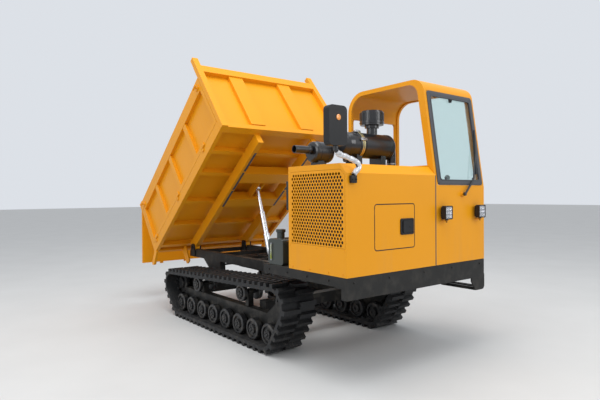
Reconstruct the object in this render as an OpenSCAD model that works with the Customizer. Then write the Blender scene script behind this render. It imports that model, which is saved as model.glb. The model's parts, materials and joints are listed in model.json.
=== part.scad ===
// Ride-on crawler dumper: rubber tracks, engine hood and cab in front, tipping drop-side bed behind.
// +X points to the front, +Y to the machine's left, Z = 0 is the ground. The bed is drawn raised.

/* [Platform] */
// Width of the front platform, the hood and the cab together
platform_w = 1750; // [1650:10:1900]
// Length of the front platform
platform_l = 1070; // [900:10:1300]
// Height of the deck above the ground
deck_z = 824; // [820:1:1000]
// Distance from the origin to the front face
front_x = 2060; // [1900:10:2500]
// Thickness of the deck plate
deck_t = 8; // [5:1:12]
// Height of the channels along the platform's sides
skirt_h = 79; // [60:1:89]
// Height of the front channel
front_skirt_h = 166; // [120:1:200]
// Wall of the platform's channels
channel_t = 8; // [5:1:12]
// Depth of the flanges of the platform's channels
channel_flange = 60; // [40:1:80]

/* [Tracks] */
// Distance between the centre lines of the two tracks
track_gauge = 1364; // [1200:2:1640]
// Width of a rubber belt
track_w = 362; // [300:2:420]
// Thickness of the belt's carcass
carcass_t = 30; // [20:1:40]
// Height of the tread lugs
lug_h = 35; // [20:1:45]
// Number of tread lugs on each half of a belt
lug_n = 58; // [40:1:64]
// Height of the guide lugs inside the belt
guide_h = 40; // [20:1:45]
// Distance from the belt's centre line to the inner side of a guide lug
guide_y = 35; // [32:1:40]
// Width of a guide lug
guide_w = 20; // [15:1:25]
// Number of road rollers on each side
roller_n = 8; // [8]
// Radius of a road roller
roller_r = 100; // [80:1:110]
// Distance between two road rollers
roller_pitch = 259; // [225:1:270]
// Centre of the row of road rollers
roller_mid_x = 35; // [0:5:60]
// Width of one wheel of a road roller
roller_w = 60; // [40:1:70]
// Radius of the roller axles
axle_r = 22; // [16:1:26]
// Radius of the front idler
idler_r = 140; // [120:1:150]
// Place of the front idler's centre
idler_x = 1075; // [1060:5:1120]
// Height of the front idler's centre
idler_z = 445; // [400:5:450]
// Radius of the drive sprocket
sprocket_r = 120; // [100:1:135]
// Place of the drive sprocket's centre
sprocket_x = -1045; // [-1120:5:-1040]
// Height of the drive sprocket's centre
sprocket_z = 362; // [330:1:380]
// Number of sprocket teeth
sprocket_teeth = 11; // [9:1:13]
// Radius of the carrier rollers
carrier_r = 85; // [70:1:90]
// Place of the front carrier roller
carrier_front_x = 450; // [400:5:500]
// Place of the rear carrier roller
carrier_rear_x = -490; // [-520:5:-440]
// Width of one wheel of a carrier roller
carrier_w = 45; // [35:1:60]

/* [Chassis] */
// Distance from the centre line to the middle of a main rail
rail_y = 385; // [340:1:420]
// Width of a main rail
rail_w = 70; // [60:1:90]
// Height of a main rail
rail_h = 100; // [80:1:110]
// Rear end of the main rails
rail_rear_x = -1425; // [-1500:5:-1400]
// Side of the square tubes that join the two track frames
cross_tube = 110; // [80:1:115]
// Place of the front cross tube
cross_front_x = 620; // [600:5:700]
// Place of the rear cross tube
cross_rear_x = -660; // [-700:5:-640]

/* [Bed] */
// Length of the bed
bed_l = 2295; // [2200:5:2400]
// Outer width of the bed
bed_w = 1695; // [1500:5:1750]
// Height of the side walls' top edge above the bed's underside
side_h = 788; // [600:2:900]
// Height of the headboard's top edge above the bed's underside
head_h = 944; // [800:2:1100]
// Height of the corner posts
post_h = 1061; // [950:2:1250]
// Angle of the raised bed
tip = 38.9; // [20:0.1:42]
// Depth of the bed's long beams
beam_h = 118; // [100:1:125]
// Thickness of the wall skins
skin_t = 5; // [3:1:8]
// Depth of the wall ribs and rails
rib_d = 45; // [35:1:50]
// Height of the floor's cross members
joist_h = 58; // [45:1:70]
// Height of the floor's side rails
sill_h = 110; // [90:1:120]
// Radius of the tip pins
tip_pin_r = 20; // [16:1:24]

/* [Hood] */
// Distance from the centre line to the gap between the hood and the cab
seam_y = 155; // [100:1:180]
// Length of the hood
hood_l = 691; // [650:1:700]
// Height of the hood above the ground
hood_z = 1656; // [1600:1:1700]
// Depth of the hood's front chamfer
hood_chamfer = 70; // [40:1:90]
// Thickness of the hood's sheet
sheet_t = 4; // [3:1:6]
// Radius of a hole in the side grille
grille_hole_r = 11.5; // [8:0.5:12]
// Distance between two holes along a row of the grille
grille_pitch_x = 32; // [28:1:36]
// Distance between two rows of the grille
grille_pitch_z = 25; // [25:1:32]

/* [Cab] */
// Length of the cab
cab_l = 1060; // [950:10:1065]
// Height of the cab's roof above the ground
roof_z = 2430; // [2300:10:2500]
// Thickness of the cab's walls and posts
cab_t = 30; // [25:1:40]
// Height of the windshield's lower edge
glass_z0 = 1489; // [1450:1:1550]
// Height of the windshield's upper edge
glass_z1 = 2335; // [2200:1:2340]
// How far back the windshield leans
glass_rake = 123; // [60:1:160]
// Thickness of the windshield
glass_t = 6; // [5:1:8]

/* [Tip cylinder] */
// Place of the trunnion
trunnion_x = -159; // [-200:1:-120]
// Height of the trunnion
trunnion_z = 689; // [660:1:700]
// Length of the barrel below its trunnion
barrel_l = 430; // [380:5:430]
// Outer radius of the barrel
barrel_r = 46; // [42:1:50]
// Wall of the barrel and of the hollow stages
tube_wall = 7; // [5:0.5:9]
// Travel of each stage
stage_stroke = 256.5; // [200:0.5:270]
// Place of the eye along the bed
eye_u = 1388; // [1380:1:1396]
// Depth of the eye below the bed's underside
eye_v = -55; // [-60:1:-50]

/* [Hidden] */
// How far welded pieces reach into each other
weld = 1;
paint = [0.93, 0.62, 0.14];
frame_grey = [0.22, 0.22, 0.21];
black = [0.08, 0.08, 0.09];
rubber = [0.13, 0.14, 0.15];
steel = [0.70, 0.71, 0.73];

fit_gap = 0.05;
part_gap = 1;
belt_gap = 1;

half_w = platform_w / 2;
platform_rear = front_x - platform_l;
rail_top = deck_z - skirt_h - 10;
rail_bottom = rail_top - rail_h;

// Tracks
track_y = track_gauge / 2;
roller_z = lug_h + carcass_t + belt_gap + roller_r;
function roller_x(i) = roller_mid_x + (i - (roller_n - 1) / 2) * roller_pitch;
beam_half = 45;
wheel_y = guide_y + guide_w + 10;
beam_z0 = roller_z + 38;
beam_z1 = roller_z + 164;
carrier_lift = 2;

// Outward normal of the belt between two wheels, as an angle; a wheel is [x, z, radius]
function run_angle(a, b) =
    let (dx = b[0] - a[0], dz = b[1] - a[1])
    atan2(dz, dx) - acos((a[2] - b[2]) / norm([dx, dz]));
idler = [idler_x, idler_z, idler_r];
sprocket = [sprocket_x, sprocket_z, sprocket_r];
top_run = run_angle(idler, sprocket);
top_reach = idler_x * cos(top_run) + idler_z * sin(top_run) + idler_r;
function carrier_z(x) = (top_reach + carrier_lift - carrier_r - x * cos(top_run)) / sin(top_run);
wheels = [
    [roller_x(0), roller_z, roller_r],
    [roller_x(roller_n - 1), roller_z, roller_r],
    idler,
    [carrier_front_x, carrier_z(carrier_front_x), carrier_r],
    [carrier_rear_x, carrier_z(carrier_rear_x), carrier_r],
    sprocket];
wheel_n = len(wheels);
runs = [for (i = [0 : wheel_n - 1]) run_angle(wheels[i], wheels[(i + 1) % wheel_n])];
function run_before(i) = runs[(i + wheel_n - 1) % wheel_n];
function turn(a) = a - 360 * floor(a / 360);
function wrap(i) = turn(runs[i] - run_before(i));
function carcass_r(i) = wheels[i][2] + belt_gap + carcass_t;
function arc_len(i) = carcass_r(i) * wrap(i) * PI / 180;
function run_len(i) =
    let (a = wheels[i], b = wheels[(i + 1) % wheel_n])
    sqrt(pow(a[0] - b[0], 2) + pow(a[1] - b[1], 2) - pow(a[2] - b[2], 2));
starts = [for (i = 0, s = 0; i < wheel_n; s = s + arc_len(i) + run_len(i), i = i + 1) s];
belt_len = starts[wheel_n - 1] + arc_len(wheel_n - 1) + run_len(wheel_n - 1);
lug_pitch = belt_len / lug_n;

// Point on the belt at the distance s along it and the height h above its carcass
function belt_point(s, h) =
    let (i = max([for (k = [0 : wheel_n - 1]) if (starts[k] <= s) k]),
         t = s - starts[i], r = carcass_r(i), w = wheels[i])
    t < arc_len(i)
        ? let (a = run_before(i) + t / r * 180 / PI) [w[0] + (r + h) * cos(a), w[1] + (r + h) * sin(a)]
        : let (a = runs[i], q = t - arc_len(i))
          [w[0] + (r + h) * cos(a) - q * sin(a), w[1] + (r + h) * sin(a) + q * cos(a)];
function belt_s(s) = s - belt_len * floor(s / belt_len);

// One lug as [share of the pitch, share of the height]
lug_shape = [[0.06, 0], [0.13, 1], [0.47, 1], [0.54, 0], [0.80, 0]];
function lug_loop(base, height, shift) =
    [for (k = [0 : lug_n - 1], q = lug_shape)
        belt_point(belt_s((k + q[0] + shift) * lug_pitch), base + q[1] * height)];

// Chassis
saddle_y = barrel_r + 24;
saddle_t = 20;
trunnion_r = 20;
saddle_half = 150;
notch_h = 30;

// Bed, in its own axes: u along the floor from the rear, v up from the floor's underside
piv_u = 223;
piv_v = -100;
piv_x = -1321;
piv_z = rail_top + 20;
ear_r = 45;
bed_half = bed_w / 2;
skin_y = bed_half - rib_d;
wall_depth = 60;
floor_l = bed_l - wall_depth;
hinge_y = bed_half + 8;
hinge_v = sill_h + 2;
hinge_us = [195, 1040, 1870];
rib_us = [580, 1120, 1650];
rib_w = 70;
top_rail_h = 148;
joist_us = [140, 580, 1040, 1550, 1900];
joist_w = 50;
heavy_beams = [[1090, 1240], [1540, 1700]];
head_rib_ys = [-370, 300];
head_rib_w = 180;
post_w = 70;
beam_end = floor_l - 30;
hanger_h = 218;
arm_l = 165;
tail_u = -22;
tail_v = side_h + 18;
eye_r = 38;
eye_pin_r = 14;
eye_gap = 11.5;
eye_w = 50;

// Cylinder
bed_cos = cos(tip);
bed_sin = sin(tip);
function bed_world(u, v) =
    [piv_x + (u - piv_u) * bed_cos - (v - piv_v) * bed_sin,
     piv_z + (u - piv_u) * bed_sin + (v - piv_v) * bed_cos];
eye_at = bed_world(eye_u, eye_v);
ram_l = norm([eye_at[0] - trunnion_x, eye_at[1] - trunnion_z]);
ram_lean = atan2(trunnion_x - eye_at[0], eye_at[1] - trunnion_z);
stage_r = [for (i = [0 : 2]) barrel_r - tube_wall - 3.5 - i * (tube_wall + 0.5)];

// Hood and cab
hood_rear = front_x - hood_l;
seam_gap = 4;
grille_x0 = hood_rear + 36;
grille_x1 = front_x - 15;
grille_z0 = deck_z + 211;
grille_z1 = hood_z - 46;
grille_cut = 46;
door_y0 = -half_w + 290;
door_y1 = seam_y - 277;
door_z0 = deck_z + 176;
door_z1 = deck_z + 526;
door_gap = 4;
cab_rear = front_x - cab_l;
cab_y0 = seam_y + 2;
sill_z = hood_z + 16;
lamp_z = deck_z + 444;
lamp_ys = [seam_y + 90, half_w - 134];
lamp_w = 100;
lamp_h = 115;
lamp_d = 55;
lamp_x = front_x + 15;
lamp_bolt_r = 6;
wiper_y = seam_y + 375;
wiper_z = glass_z0 - 69;
cleaner_x = hood_rear + 241;
cleaner_z = hood_z + 189;
cleaner_r = 108;
muffler_x = hood_rear + 91;
muffler_z = hood_z + 126;
muffler_r = 88;
fan_x = hood_rear + 345;
fan_z = (grille_z0 + grille_z1) / 2;
fan_y = -half_w + 200;
fan_shaft_r = 14;
mirror_y = -half_w - 115;
mirror_w = 170;
mirror_h = 280;
mirror_z0 = hood_z + 111;
mirror_pin_r = 8;
mirror_out = 17;
seat_y = (cab_y0 + half_w) / 2;
lever_ys = [seat_y - 110, seat_y + 110];
lever_z = glass_z0 - 95;
lever_x = front_x - 165;

// A box between two limits on each axis
module box(x, y, z) {
    translate([x[0], y[0], z[0]]) cube([x[1] - x[0], y[1] - y[0], z[1] - z[0]]);
}

// An outline in X and Z, extruded along Y from y0 to y1
module along_y(y0, y1) {
    translate([0, y1, 0]) rotate([90, 0, 0]) linear_extrude(y1 - y0) children();
}

// An outline in Y and Z, extruded along X from x0 to x1
module along_x(x0, x1) {
    translate([x0, 0, 0]) rotate([90, 0, 90]) linear_extrude(x1 - x0) children();
}

// A round bar along Y, centred on x and z
module bar_y(x, z, r, y0, y1) {
    translate([x, y1, z]) rotate([90, 0, 0]) cylinder(r = r, h = y1 - y0, $fn = 48);
}

// A round bar along X, centred on y and z
module bar_x(y, z, r, x0, x1) {
    translate([x0, y, z]) rotate([0, 90, 0]) cylinder(r = r, h = x1 - x0, $fn = 48);
}

// A round bar between two points, with a slightly larger ball at its second end
module rod(p, q, r) {
    d = q - p;
    translate(p) rotate([0, acos(d[2] / norm(d)), atan2(d[1], d[0])])
        cylinder(r = r, h = norm(d), $fn = 32);
    translate(q) sphere(r = r * 1.15, $fn = 32);
}

// Mirrors a piece to the other side of the centre plane when side is -1
module on_side(side) {
    if (side > 0) children();
    else mirror([0, 1, 0]) children();
}

// A polygon's corners rounded: pts are its corners and rs the radius of each
function unit(v) = v / norm(v);
function round_corner(a, p, b, r) =
    r == 0 ? [p] :
    let (u = unit(a - p), v = unit(b - p), h = acos(u * v) / 2, c = p + unit(u + v) * r / sin(h),
         f = p + u * r / tan(h) - c, g = p + v * r / tan(h) - c,
         a0 = atan2(f[1], f[0]), d = turn(atan2(g[1], g[0]) - a0 + 180) - 180)
    [for (k = [0 : 8]) c + r * [cos(a0 + d * k / 8), sin(a0 + d * k / 8)]];
function rounded(pts, rs) =
    let (n = len(pts))
    [for (i = [0 : n - 1]) each round_corner(pts[(i + n - 1) % n], pts[i], pts[(i + 1) % n], rs[i])];
function rect(x, z) = [[x[0], z[0]], [x[1], z[0]], [x[1], z[1]], [x[0], z[1]]];
function round_rect(x, z, r) = rounded(rect(x, z), [r, r, r, r]);

// ---- Tracks: drawn for the left side, centred on the track, then moved and mirrored ----
module track_place(side) {
    on_side(side) translate([0, track_y, 0]) children();
}

module belt_slab(y0, y1, outer_h, inner_h, shift) {
    along_y(y0, y1) difference() {
        polygon(lug_loop(0, outer_h, shift));
        polygon(lug_loop(-carcass_t, -inner_h, shift));
    }
}

guide_root = 4;
module guide_row(y0) {
    along_y(y0, y0 + guide_w) difference() {
        polygon(lug_loop(-carcass_t / 2, 0, 0));
        polygon(lug_loop(-carcass_t + guide_root, -guide_h - guide_root, 0));
    }
}

module track_belt(side) {
    color(rubber) track_place(side) {
        belt_slab(-track_w / 2, 0, lug_h, 0, 0);
        belt_slab(0, track_w / 2, lug_h, 0, 0.5);
        guide_row(guide_y);
        guide_row(-guide_y - guide_w);
    }
}

housing_r = 44;
yoke_t = 14;
motor_r = 82;
module track_frame(side) {
    idler_arm = guide_y - 3;
    color(frame_grey) track_place(side) {
        difference() {
            union() {
                box([roller_x(0) - 48, roller_x(roller_n - 1) + 20], [-beam_half, beam_half],
                    [beam_z0, beam_z1]);
                for (i = [0 : roller_n - 1]) {
                    bar_y(roller_x(i), roller_z, housing_r, -beam_half, beam_half);
                    box([roller_x(i) - housing_r, roller_x(i) + housing_r], [-beam_half, beam_half],
                        [roller_z, beam_z0 + 10]);
                }
                for (x = [carrier_front_x, carrier_rear_x]) {
                    box([x - 28, x + 28], [-30, 30], [beam_z1 - 10, carrier_z(x)]);
                    bar_y(x, carrier_z(x), 34, -30, 30);
                }
            }
            for (i = [0 : roller_n - 1])
                bar_y(roller_x(i), roller_z, axle_r + fit_gap, -beam_half - 1, beam_half + 1);
            for (x = [carrier_front_x, carrier_rear_x])
                bar_y(x, carrier_z(x), axle_r + fit_gap, -31, 31);
        }
        // Idler yoke
        for (y = [-idler_arm - yoke_t, idler_arm]) difference() {
            along_y(y, y + yoke_t) polygon([[idler_x - 250, beam_z0 + 40], [idler_x - 120, beam_z0 + 30],
                [idler_x + 45, idler_z - 30], [idler_x + 45, idler_z + 40], [idler_x - 30, idler_z + 55],
                [idler_x - 250, beam_z1]]);
            bar_y(idler_x, idler_z, axle_r + fit_gap, y - 1, y + yoke_t + 1);
        }
        // Travel motor and its mounting plate on the inner side
        difference() {
            union() {
                bar_y(sprocket_x, sprocket_z, motor_r, -150, -wheel_y + 5);
                bar_y(sprocket_x, sprocket_z, 60, -190, -149);
                along_y(-wheel_y + 5 - 12, -wheel_y + 5) polygon([[sprocket_x, sprocket_z - 70],
                    [roller_x(0) + 60, beam_z0 + 70], [roller_x(0) + 60, beam_z1],
                    [roller_x(0) - 60, sprocket_z + 20], [sprocket_x, sprocket_z + 70]]);
                box([roller_x(0) - 40, roller_x(0) + 60], [-wheel_y + 4, -beam_half + 1],
                    [beam_z0 + 75, beam_z1 - 5]);
            }
            bar_y(sprocket_x, sprocket_z, 30 + fit_gap, -120, 0);
        }
    }
}

module sprocket_wheel(side) {
    color(black) track_place(side) difference() {
        union() {
            difference() {
                bar_y(sprocket_x, sprocket_z, sprocket_r - 1, -22, 22);
                for (k = [0 : sprocket_teeth - 1])
                    let (a = (k + 0.5) * 360 / sprocket_teeth)
                    bar_y(sprocket_x + (sprocket_r + 6) * cos(a), sprocket_z + (sprocket_r + 6) * sin(a),
                        19, -23, 23);
            }
            bar_y(sprocket_x, sprocket_z, 62, -50, 44);
            bar_y(sprocket_x, sprocket_z, 30, -110, -49);
        }
        for (k = [0 : 7])
            let (a = k * 45)
            bar_y(sprocket_x + 48 * cos(a), sprocket_z + 48 * sin(a), 6, 36, 45);
    }
}

// Half outline of a roller wheel from its axle outwards: rim, recessed web and hub
module wheel_half(r, y0, w) {
    rotate_extrude($fn = 72) polygon([[0, y0], [r - 6, y0], [r, y0 + 6], [r, y0 + w - 6], [r - 6, y0 + w],
        [r - 24, y0 + w], [r - 28, y0 + w - 16], [46, y0 + w - 16], [44, y0 + w + 6], [20, y0 + w + 6],
        [20, y0 + w - 2], [0, y0 + w - 2]]);
}

module roller(side, x, z, r, w) {
    color(black) track_place(side) {
        for (m = [0, 1]) translate([x, 0, z]) mirror([0, m, 0]) rotate([-90, 0, 0])
            wheel_half(r, wheel_y, w);
        bar_y(x, z, axle_r, -wheel_y - 5, wheel_y + 5);
    }
}

module front_idler(side) {
    rim = guide_y - 7;
    color(black) track_place(side) translate([idler_x, 0, idler_z]) rotate([-90, 0, 0]) {
        rotate_extrude($fn = 96) polygon([[0, -rim], [60, -rim], [60, -14], [idler_r - 26, -14],
            [idler_r - 22, -rim], [idler_r - 4, -rim], [idler_r, -rim + 4], [idler_r, rim - 4],
            [idler_r - 4, rim], [idler_r - 22, rim], [idler_r - 26, 14], [60, 14], [60, rim], [0, rim]]);
        translate([0, 0, -60]) cylinder(r = axle_r, h = 120, $fn = 48);
    }
}

// ---- Chassis ----
module chassis_frame() {
    cross_z0 = beam_z0 + 86;
    tube_end = track_y - beam_half;
    color(frame_grey) {
        difference() {
            union() {
                for (s = [-1, 1]) on_side(s) {
                    difference() {
                        box([rail_rear_x, front_x - 70], [rail_y - rail_w / 2, rail_y + rail_w / 2],
                            [rail_bottom, rail_top]);
                        box([rail_rear_x - 1, piv_x + 70], [rail_y - rail_w, rail_y + rail_w],
                            [rail_top - notch_h, rail_top + 1]);
                    }
                    // Tip lugs on both sides of the rail
                    for (y = [rail_y - rail_w / 2 - 14, rail_y + rail_w / 2])
                        along_y(y, y + 14) polygon(rounded([[piv_x - 60, rail_bottom + 10],
                            [piv_x + 60, rail_bottom + 10], [piv_x + 44, piv_z + 44],
                            [piv_x - 44, piv_z + 44]], [0, 0, 30, 30]));
                    // Pedestals down to the cross tubes
                    along_y(rail_y - rail_w / 2, rail_y + rail_w / 2) polygon([
                        [cross_rear_x - 380, rail_bottom + weld],
                            [cross_rear_x - 60, cross_z0 + cross_tube],
                        [cross_rear_x + 60, cross_z0 + cross_tube],
                            [cross_rear_x + 40, rail_bottom + weld]]);
                    along_y(rail_y - rail_w / 2, rail_y + rail_w / 2) polygon([
                        [cross_front_x - 60, rail_bottom + weld],
                            [cross_front_x - 60, cross_z0 + cross_tube],
                        [cross_front_x + 60, cross_z0 + cross_tube],
                            [cross_front_x + 120, rail_bottom + weld]]);
                }
                for (x = [cross_front_x, cross_rear_x])
                    box([x - cross_tube / 2, x + cross_tube / 2], [-tube_end, tube_end],
                        [cross_z0, cross_z0 + cross_tube + weld]);
                // Cross members between the rails
                for (x = [rail_rear_x, -900, -520, 420, 900, 1500])
                    box([x, x + 60], [-rail_y, rail_y], [rail_bottom + 20, rail_bottom + 70]);
                // Cylinder saddle
                for (x = [trunnion_x - saddle_half, trunnion_x + saddle_half - 40])
                    box([x, x + 40], [-rail_y, rail_y], [rail_bottom + 20, rail_top - 20]);
                for (y = [-saddle_y - saddle_t, saddle_y])
                    box([trunnion_x - saddle_half, trunnion_x + saddle_half], [y, y + saddle_t],
                        [rail_bottom + 10, rail_top - 10]);
            }
            bar_y(trunnion_x, trunnion_z, trunnion_r + fit_gap, -saddle_y - saddle_t - 1, -saddle_y + 1);
            bar_y(trunnion_x, trunnion_z, trunnion_r + fit_gap, saddle_y - 1, saddle_y + saddle_t + 1);
        }
        for (s = [-1, 1]) on_side(s)
            bar_y(piv_x, piv_z, tip_pin_r, rail_y - rail_w / 2 - 24, rail_y + rail_w / 2 + 24);
    }
}

// ---- Platform ----
module platform_frame() {
    skirt_z = deck_z - skirt_h;
    front_z = deck_z - front_skirt_h;
    color(frame_grey) {
        box([platform_rear, front_x], [-half_w, half_w], [deck_z - deck_t, deck_z]);
        for (s = [-1, 1]) on_side(s) {
            box([platform_rear, front_x], [half_w - channel_t, half_w], [skirt_z, deck_z - deck_t]);
            box([platform_rear, front_x], [half_w - channel_flange, half_w],
                [skirt_z, skirt_z + channel_t]);
            box([front_x - channel_flange, front_x], [half_w - channel_t, half_w],
                [front_z, deck_z - deck_t]);
        }
        box([front_x - channel_t, front_x], [-half_w, half_w], [front_z, deck_z - deck_t]);
        box([front_x - channel_flange, front_x], [-half_w, half_w], [front_z, front_z + channel_t]);
        for (x = [platform_rear, platform_rear + platform_l / 2, front_x - 130])
            box([x, x + 60], [-half_w + channel_t, half_w - channel_t], [rail_top, deck_z - deck_t]);
    }
}

step_x = [front_x - 520, front_x - 131];
step_y1 = half_w + 205;
step_z = deck_z - 324;
module entry_step() {
    color(black) {
        for (x = step_x) along_x(x - 6, x + 6) polygon(rounded([[half_w - channel_t, deck_z - skirt_h],
            [half_w - channel_t, step_z + 90], [half_w + 60, step_z], [step_y1, step_z],
            [step_y1, step_z + 150], [half_w + 40, deck_z - skirt_h]], [0, 0, 30, 40, 20, 0]));
        for (y = [step_y1 - 40, half_w + 60])
            box([step_x[0], step_x[1]], [y, y + 30], [step_z, step_z + 28]);
        for (k = [1 : 5])
            let (x = step_x[0] + k * (step_x[1] - step_x[0]) / 6)
            box([x - 5, x + 5], [half_w + 60, step_y1 - 20], [step_z + 6, step_z + 28]);
    }
}

// ---- Bed: drawn flat in its own axes, then turned about the tip pins ----
module bed_place() {
    translate([piv_x, 0, piv_z]) rotate([0, -tip, 0]) translate([-piv_u, 0, -piv_v]) children();
}

module bed_floor() {
    color(paint) bed_place() {
        difference() {
            union() {
                box([0, floor_l], [-skin_y, skin_y], [joist_h, joist_h + skin_t]);
                for (u = joist_us) box([u - joist_w / 2, u + joist_w / 2], [-skin_y, skin_y],
                    [0, joist_h + weld]);
                for (s = [-1, 1]) on_side(s) {
                    box([0, floor_l], [skin_y - 1, bed_half], [0, sill_h]);
                    // Rear corner post with the tailgate's hinge lug
                    box([0, 50], [skin_y, bed_half], [sill_h - 1, side_h]);
                    box([tail_u - 14, 40], [bed_half - 22, bed_half - 10], [side_h - 60, tail_v + 14]);
                    // Long beam and tip ear
                    box([piv_u - ear_r, beam_end], [rail_y - 33, rail_y + 33], [-beam_h + ear_r, weld]);
                    box([piv_u + ear_r - 8, beam_end], [rail_y - 33, rail_y + 33], [-beam_h, weld]);
                    // Hanger at the rear end, outside the rail
                    along_y(rail_y + 65, rail_y + 85) polygon(rounded([[6, weld], [6, -hanger_h],
                        [88, -hanger_h], [120, weld]], [0, 24, 24, 0]));
                    // Arm that the tailgate locks on
                    along_y(bed_half - 30, bed_half)
                        polygon(rounded([[49, weld], [49, -20], [-arm_l + 40, -98],
                        [-arm_l, -80], [-arm_l, -50], [2, 30]], [0, 0, 12, 12, 12, 0]));
                    bar_y(piv_u, piv_v, ear_r, rail_y - rail_w / 2 + part_gap,
                        rail_y + rail_w / 2 - part_gap);
                    // Hinge knuckles of the drop side
                    for (u = hinge_us) {
                        box([u - 60, u - 20], [bed_half - 1, hinge_y + 3], [sill_h - 34, hinge_v - 2]);
                        translate([u - 60, hinge_y, hinge_v]) rotate([0, 90, 0])
                            cylinder(r = 7, h = 40, $fn = 32);
                    }
                }
                box([0, 40], [-skin_y, skin_y], [0, joist_h]);
                box([floor_l - 40, floor_l], [-skin_y, skin_y], [0, joist_h]);
                for (b = heavy_beams) box(b, [-rail_y, rail_y], [-beam_h, weld]);
                // Ears for the cylinder's eye
                for (y = [-eye_w / 2 - 17, eye_w / 2 + 5])
                    box([heavy_beams[0][1] - 1, heavy_beams[1][0] + 1], [y, y + 12], [eye_v - 40, weld]);
            }
            for (s = [-1, 1]) on_side(s) {
                bar_y(piv_u, piv_v, tip_pin_r + fit_gap, rail_y - rail_w, rail_y + rail_w);
                bar_y(tail_u, tail_v, 8 + fit_gap, bed_half - 30, bed_half);
                for (u = hinge_us)
                    translate([u - 70, hinge_y, hinge_v]) rotate([0, 90, 0])
                        cylinder(r = 3.5 + fit_gap, h = 60, $fn = 24);
            }
        }
        bar_y(eye_u, eye_v, eye_pin_r, -eye_w / 2 - 22, eye_w / 2 + 22);
    }
}

module headboard() {
    color(paint) bed_place() {
        box([floor_l, floor_l + skin_t], [-bed_half, bed_half], [0, head_h]);
        for (y = head_rib_ys)
            along_x(floor_l + skin_t - weld, floor_l + rib_d) polygon([[y - head_rib_w / 2, 75],
                [y + head_rib_w / 2, 75], [y + head_rib_w / 2, head_h - 90],
                    [y - head_rib_w / 2, head_h - 90]]);
        box([floor_l + skin_t - weld, bed_l], [-bed_half + post_w, bed_half - post_w],
            [head_h - 104, head_h]);
        box([floor_l + skin_t - weld, floor_l + rib_d], [-bed_half + post_w, bed_half - post_w], [0, 60]);
        for (s = [-1, 1]) on_side(s)
            box([floor_l + skin_t - weld, bed_l], [bed_half - post_w, bed_half], [0, post_h]);
    }
}

module drop_side(side) {
    u0 = 53;
    u1 = floor_l - 3;
    v0 = sill_h + 4;
    color(paint) bed_place() on_side(side) {
        box([u0, u1], [skin_y, skin_y + skin_t], [v0, side_h]);
        box([u0, u1], [skin_y + skin_t - weld, bed_half], [side_h - top_rail_h, side_h]);
        box([u0, u1], [skin_y + skin_t - weld, bed_half], [v0, v0 + 50]);
        for (u = rib_us)
            box([u - rib_w / 2, u + rib_w / 2], [skin_y + skin_t - weld, bed_half - 3],
                [v0 + 49, side_h - top_rail_h + 1]);
        for (u = [u0, u1 - 45])
            box([u, u + 45], [skin_y + skin_t - weld, bed_half], [v0 + 49, side_h - top_rail_h + 1]);
        // Hinge leaves with their pins
        for (u = hinge_us) {
            box([u - 18, u + 22], [bed_half - 1, hinge_y + 3], [hinge_v + 2, hinge_v + 40]);
            translate([u - 18, hinge_y, hinge_v]) rotate([0, 90, 0]) cylinder(r = 7, h = 40, $fn = 32);
            translate([u - 64, hinge_y, hinge_v]) rotate([0, 90, 0]) cylinder(r = 3.5, h = 80, $fn = 24);
        }
        // T-handled latches at both ends of the top rail
        for (u = [u0 + 70, u1 - 70]) {
            box([u - 30, u + 30], [bed_half - 1, bed_half + 10], [side_h - 110, side_h - 60]);
            bar_y(u, side_h - 85, 8, bed_half + 9, bed_half + 38);
            translate([u - 35, bed_half + 38, side_h - 85]) rotate([0, 90, 0])
                cylinder(r = 8, h = 70, $fn = 32);
        }
    }
}

module tail_place() {
    at = bed_world(tail_u, tail_v);
    translate([at[0], 0, at[1]]) children();
}

// Drawn hanging from its hinge at the origin
module tailgate() {
    drop = tail_v - 4;
    half = bed_half - 2;
    color(paint) tail_place() {
        box([-2, 3], [-half + 34, half - 34], [-drop, -20]);
        box([-26, -2 + weld], [-half + 34, half - 34], [-drop, -drop + 60]);
        box([-26, -2 + weld], [-half + 34, half - 34], [-120, -20]);
        for (y = [-half + 34, -475, 0, 405, half - 104])
            box([-26, -2 + weld], [y, y + 70], [-drop + 59, -119]);
        for (s = [-1, 1]) on_side(s) {
            box([-14, 10], [half - 44, half - 32], [-21, 10]);
            bar_y(0, 0, 14, half - 44, half - 23);
        }
        // Lock tabs on the lower edge
        for (y = [-560, -200, 160, 520]) box([-20, -4], [y, y + 45], [-drop - 24, -drop + 1]);
        for (s = [-1, 1]) on_side(s) bar_y(0, 0, 8, half - 40, half - 2);
    }
}

// ---- Tip cylinder: s runs along its axis from the trunnion ----
module ram_place() {
    translate([trunnion_x, 0, trunnion_z]) rotate([0, -ram_lean, 0]) children();
}

module cylinder_barrel() {
    bore = barrel_r - tube_wall;
    color(black) ram_place() {
        difference() {
            union() {
                translate([0, 0, -barrel_l]) cylinder(r = barrel_r, h = barrel_l + 20, $fn = 64);
                translate([0, 0, -32]) cylinder(r = barrel_r + 12, h = 52, $fn = 64);
                bar_y(0, 0, trunnion_r, -saddle_y - saddle_t - 8, saddle_y + saddle_t + 8);
            }
            translate([0, 0, -barrel_l + 12]) cylinder(r = bore, h = barrel_l + 20, $fn = 64);
        }
    }
}

function stage_z(i) = (i + 1) * stage_stroke;
function stage_top(i) = 35 + i * 15;
function stage_bottom(i) = -barrel_l + 30 + i * 10;
module hollow_stage(i) {
    bore = stage_r[i] - tube_wall;
    color(steel) ram_place() translate([0, 0, stage_z(i)]) difference() {
        union() {
            translate([0, 0, stage_bottom(i)])
                cylinder(r = stage_r[i], h = stage_top(i) - stage_bottom(i), $fn = 64);
            translate([0, 0, stage_top(i) - 12]) cylinder(r = stage_r[i] + 3, h = 12, $fn = 64);
        }
        translate([0, 0, stage_bottom(i) - 1])
            cylinder(r = bore, h = stage_top(i) - stage_bottom(i) + 2, $fn = 64);
    }
}

module cylinder_stage_1() {
    hollow_stage(0);
}

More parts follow.
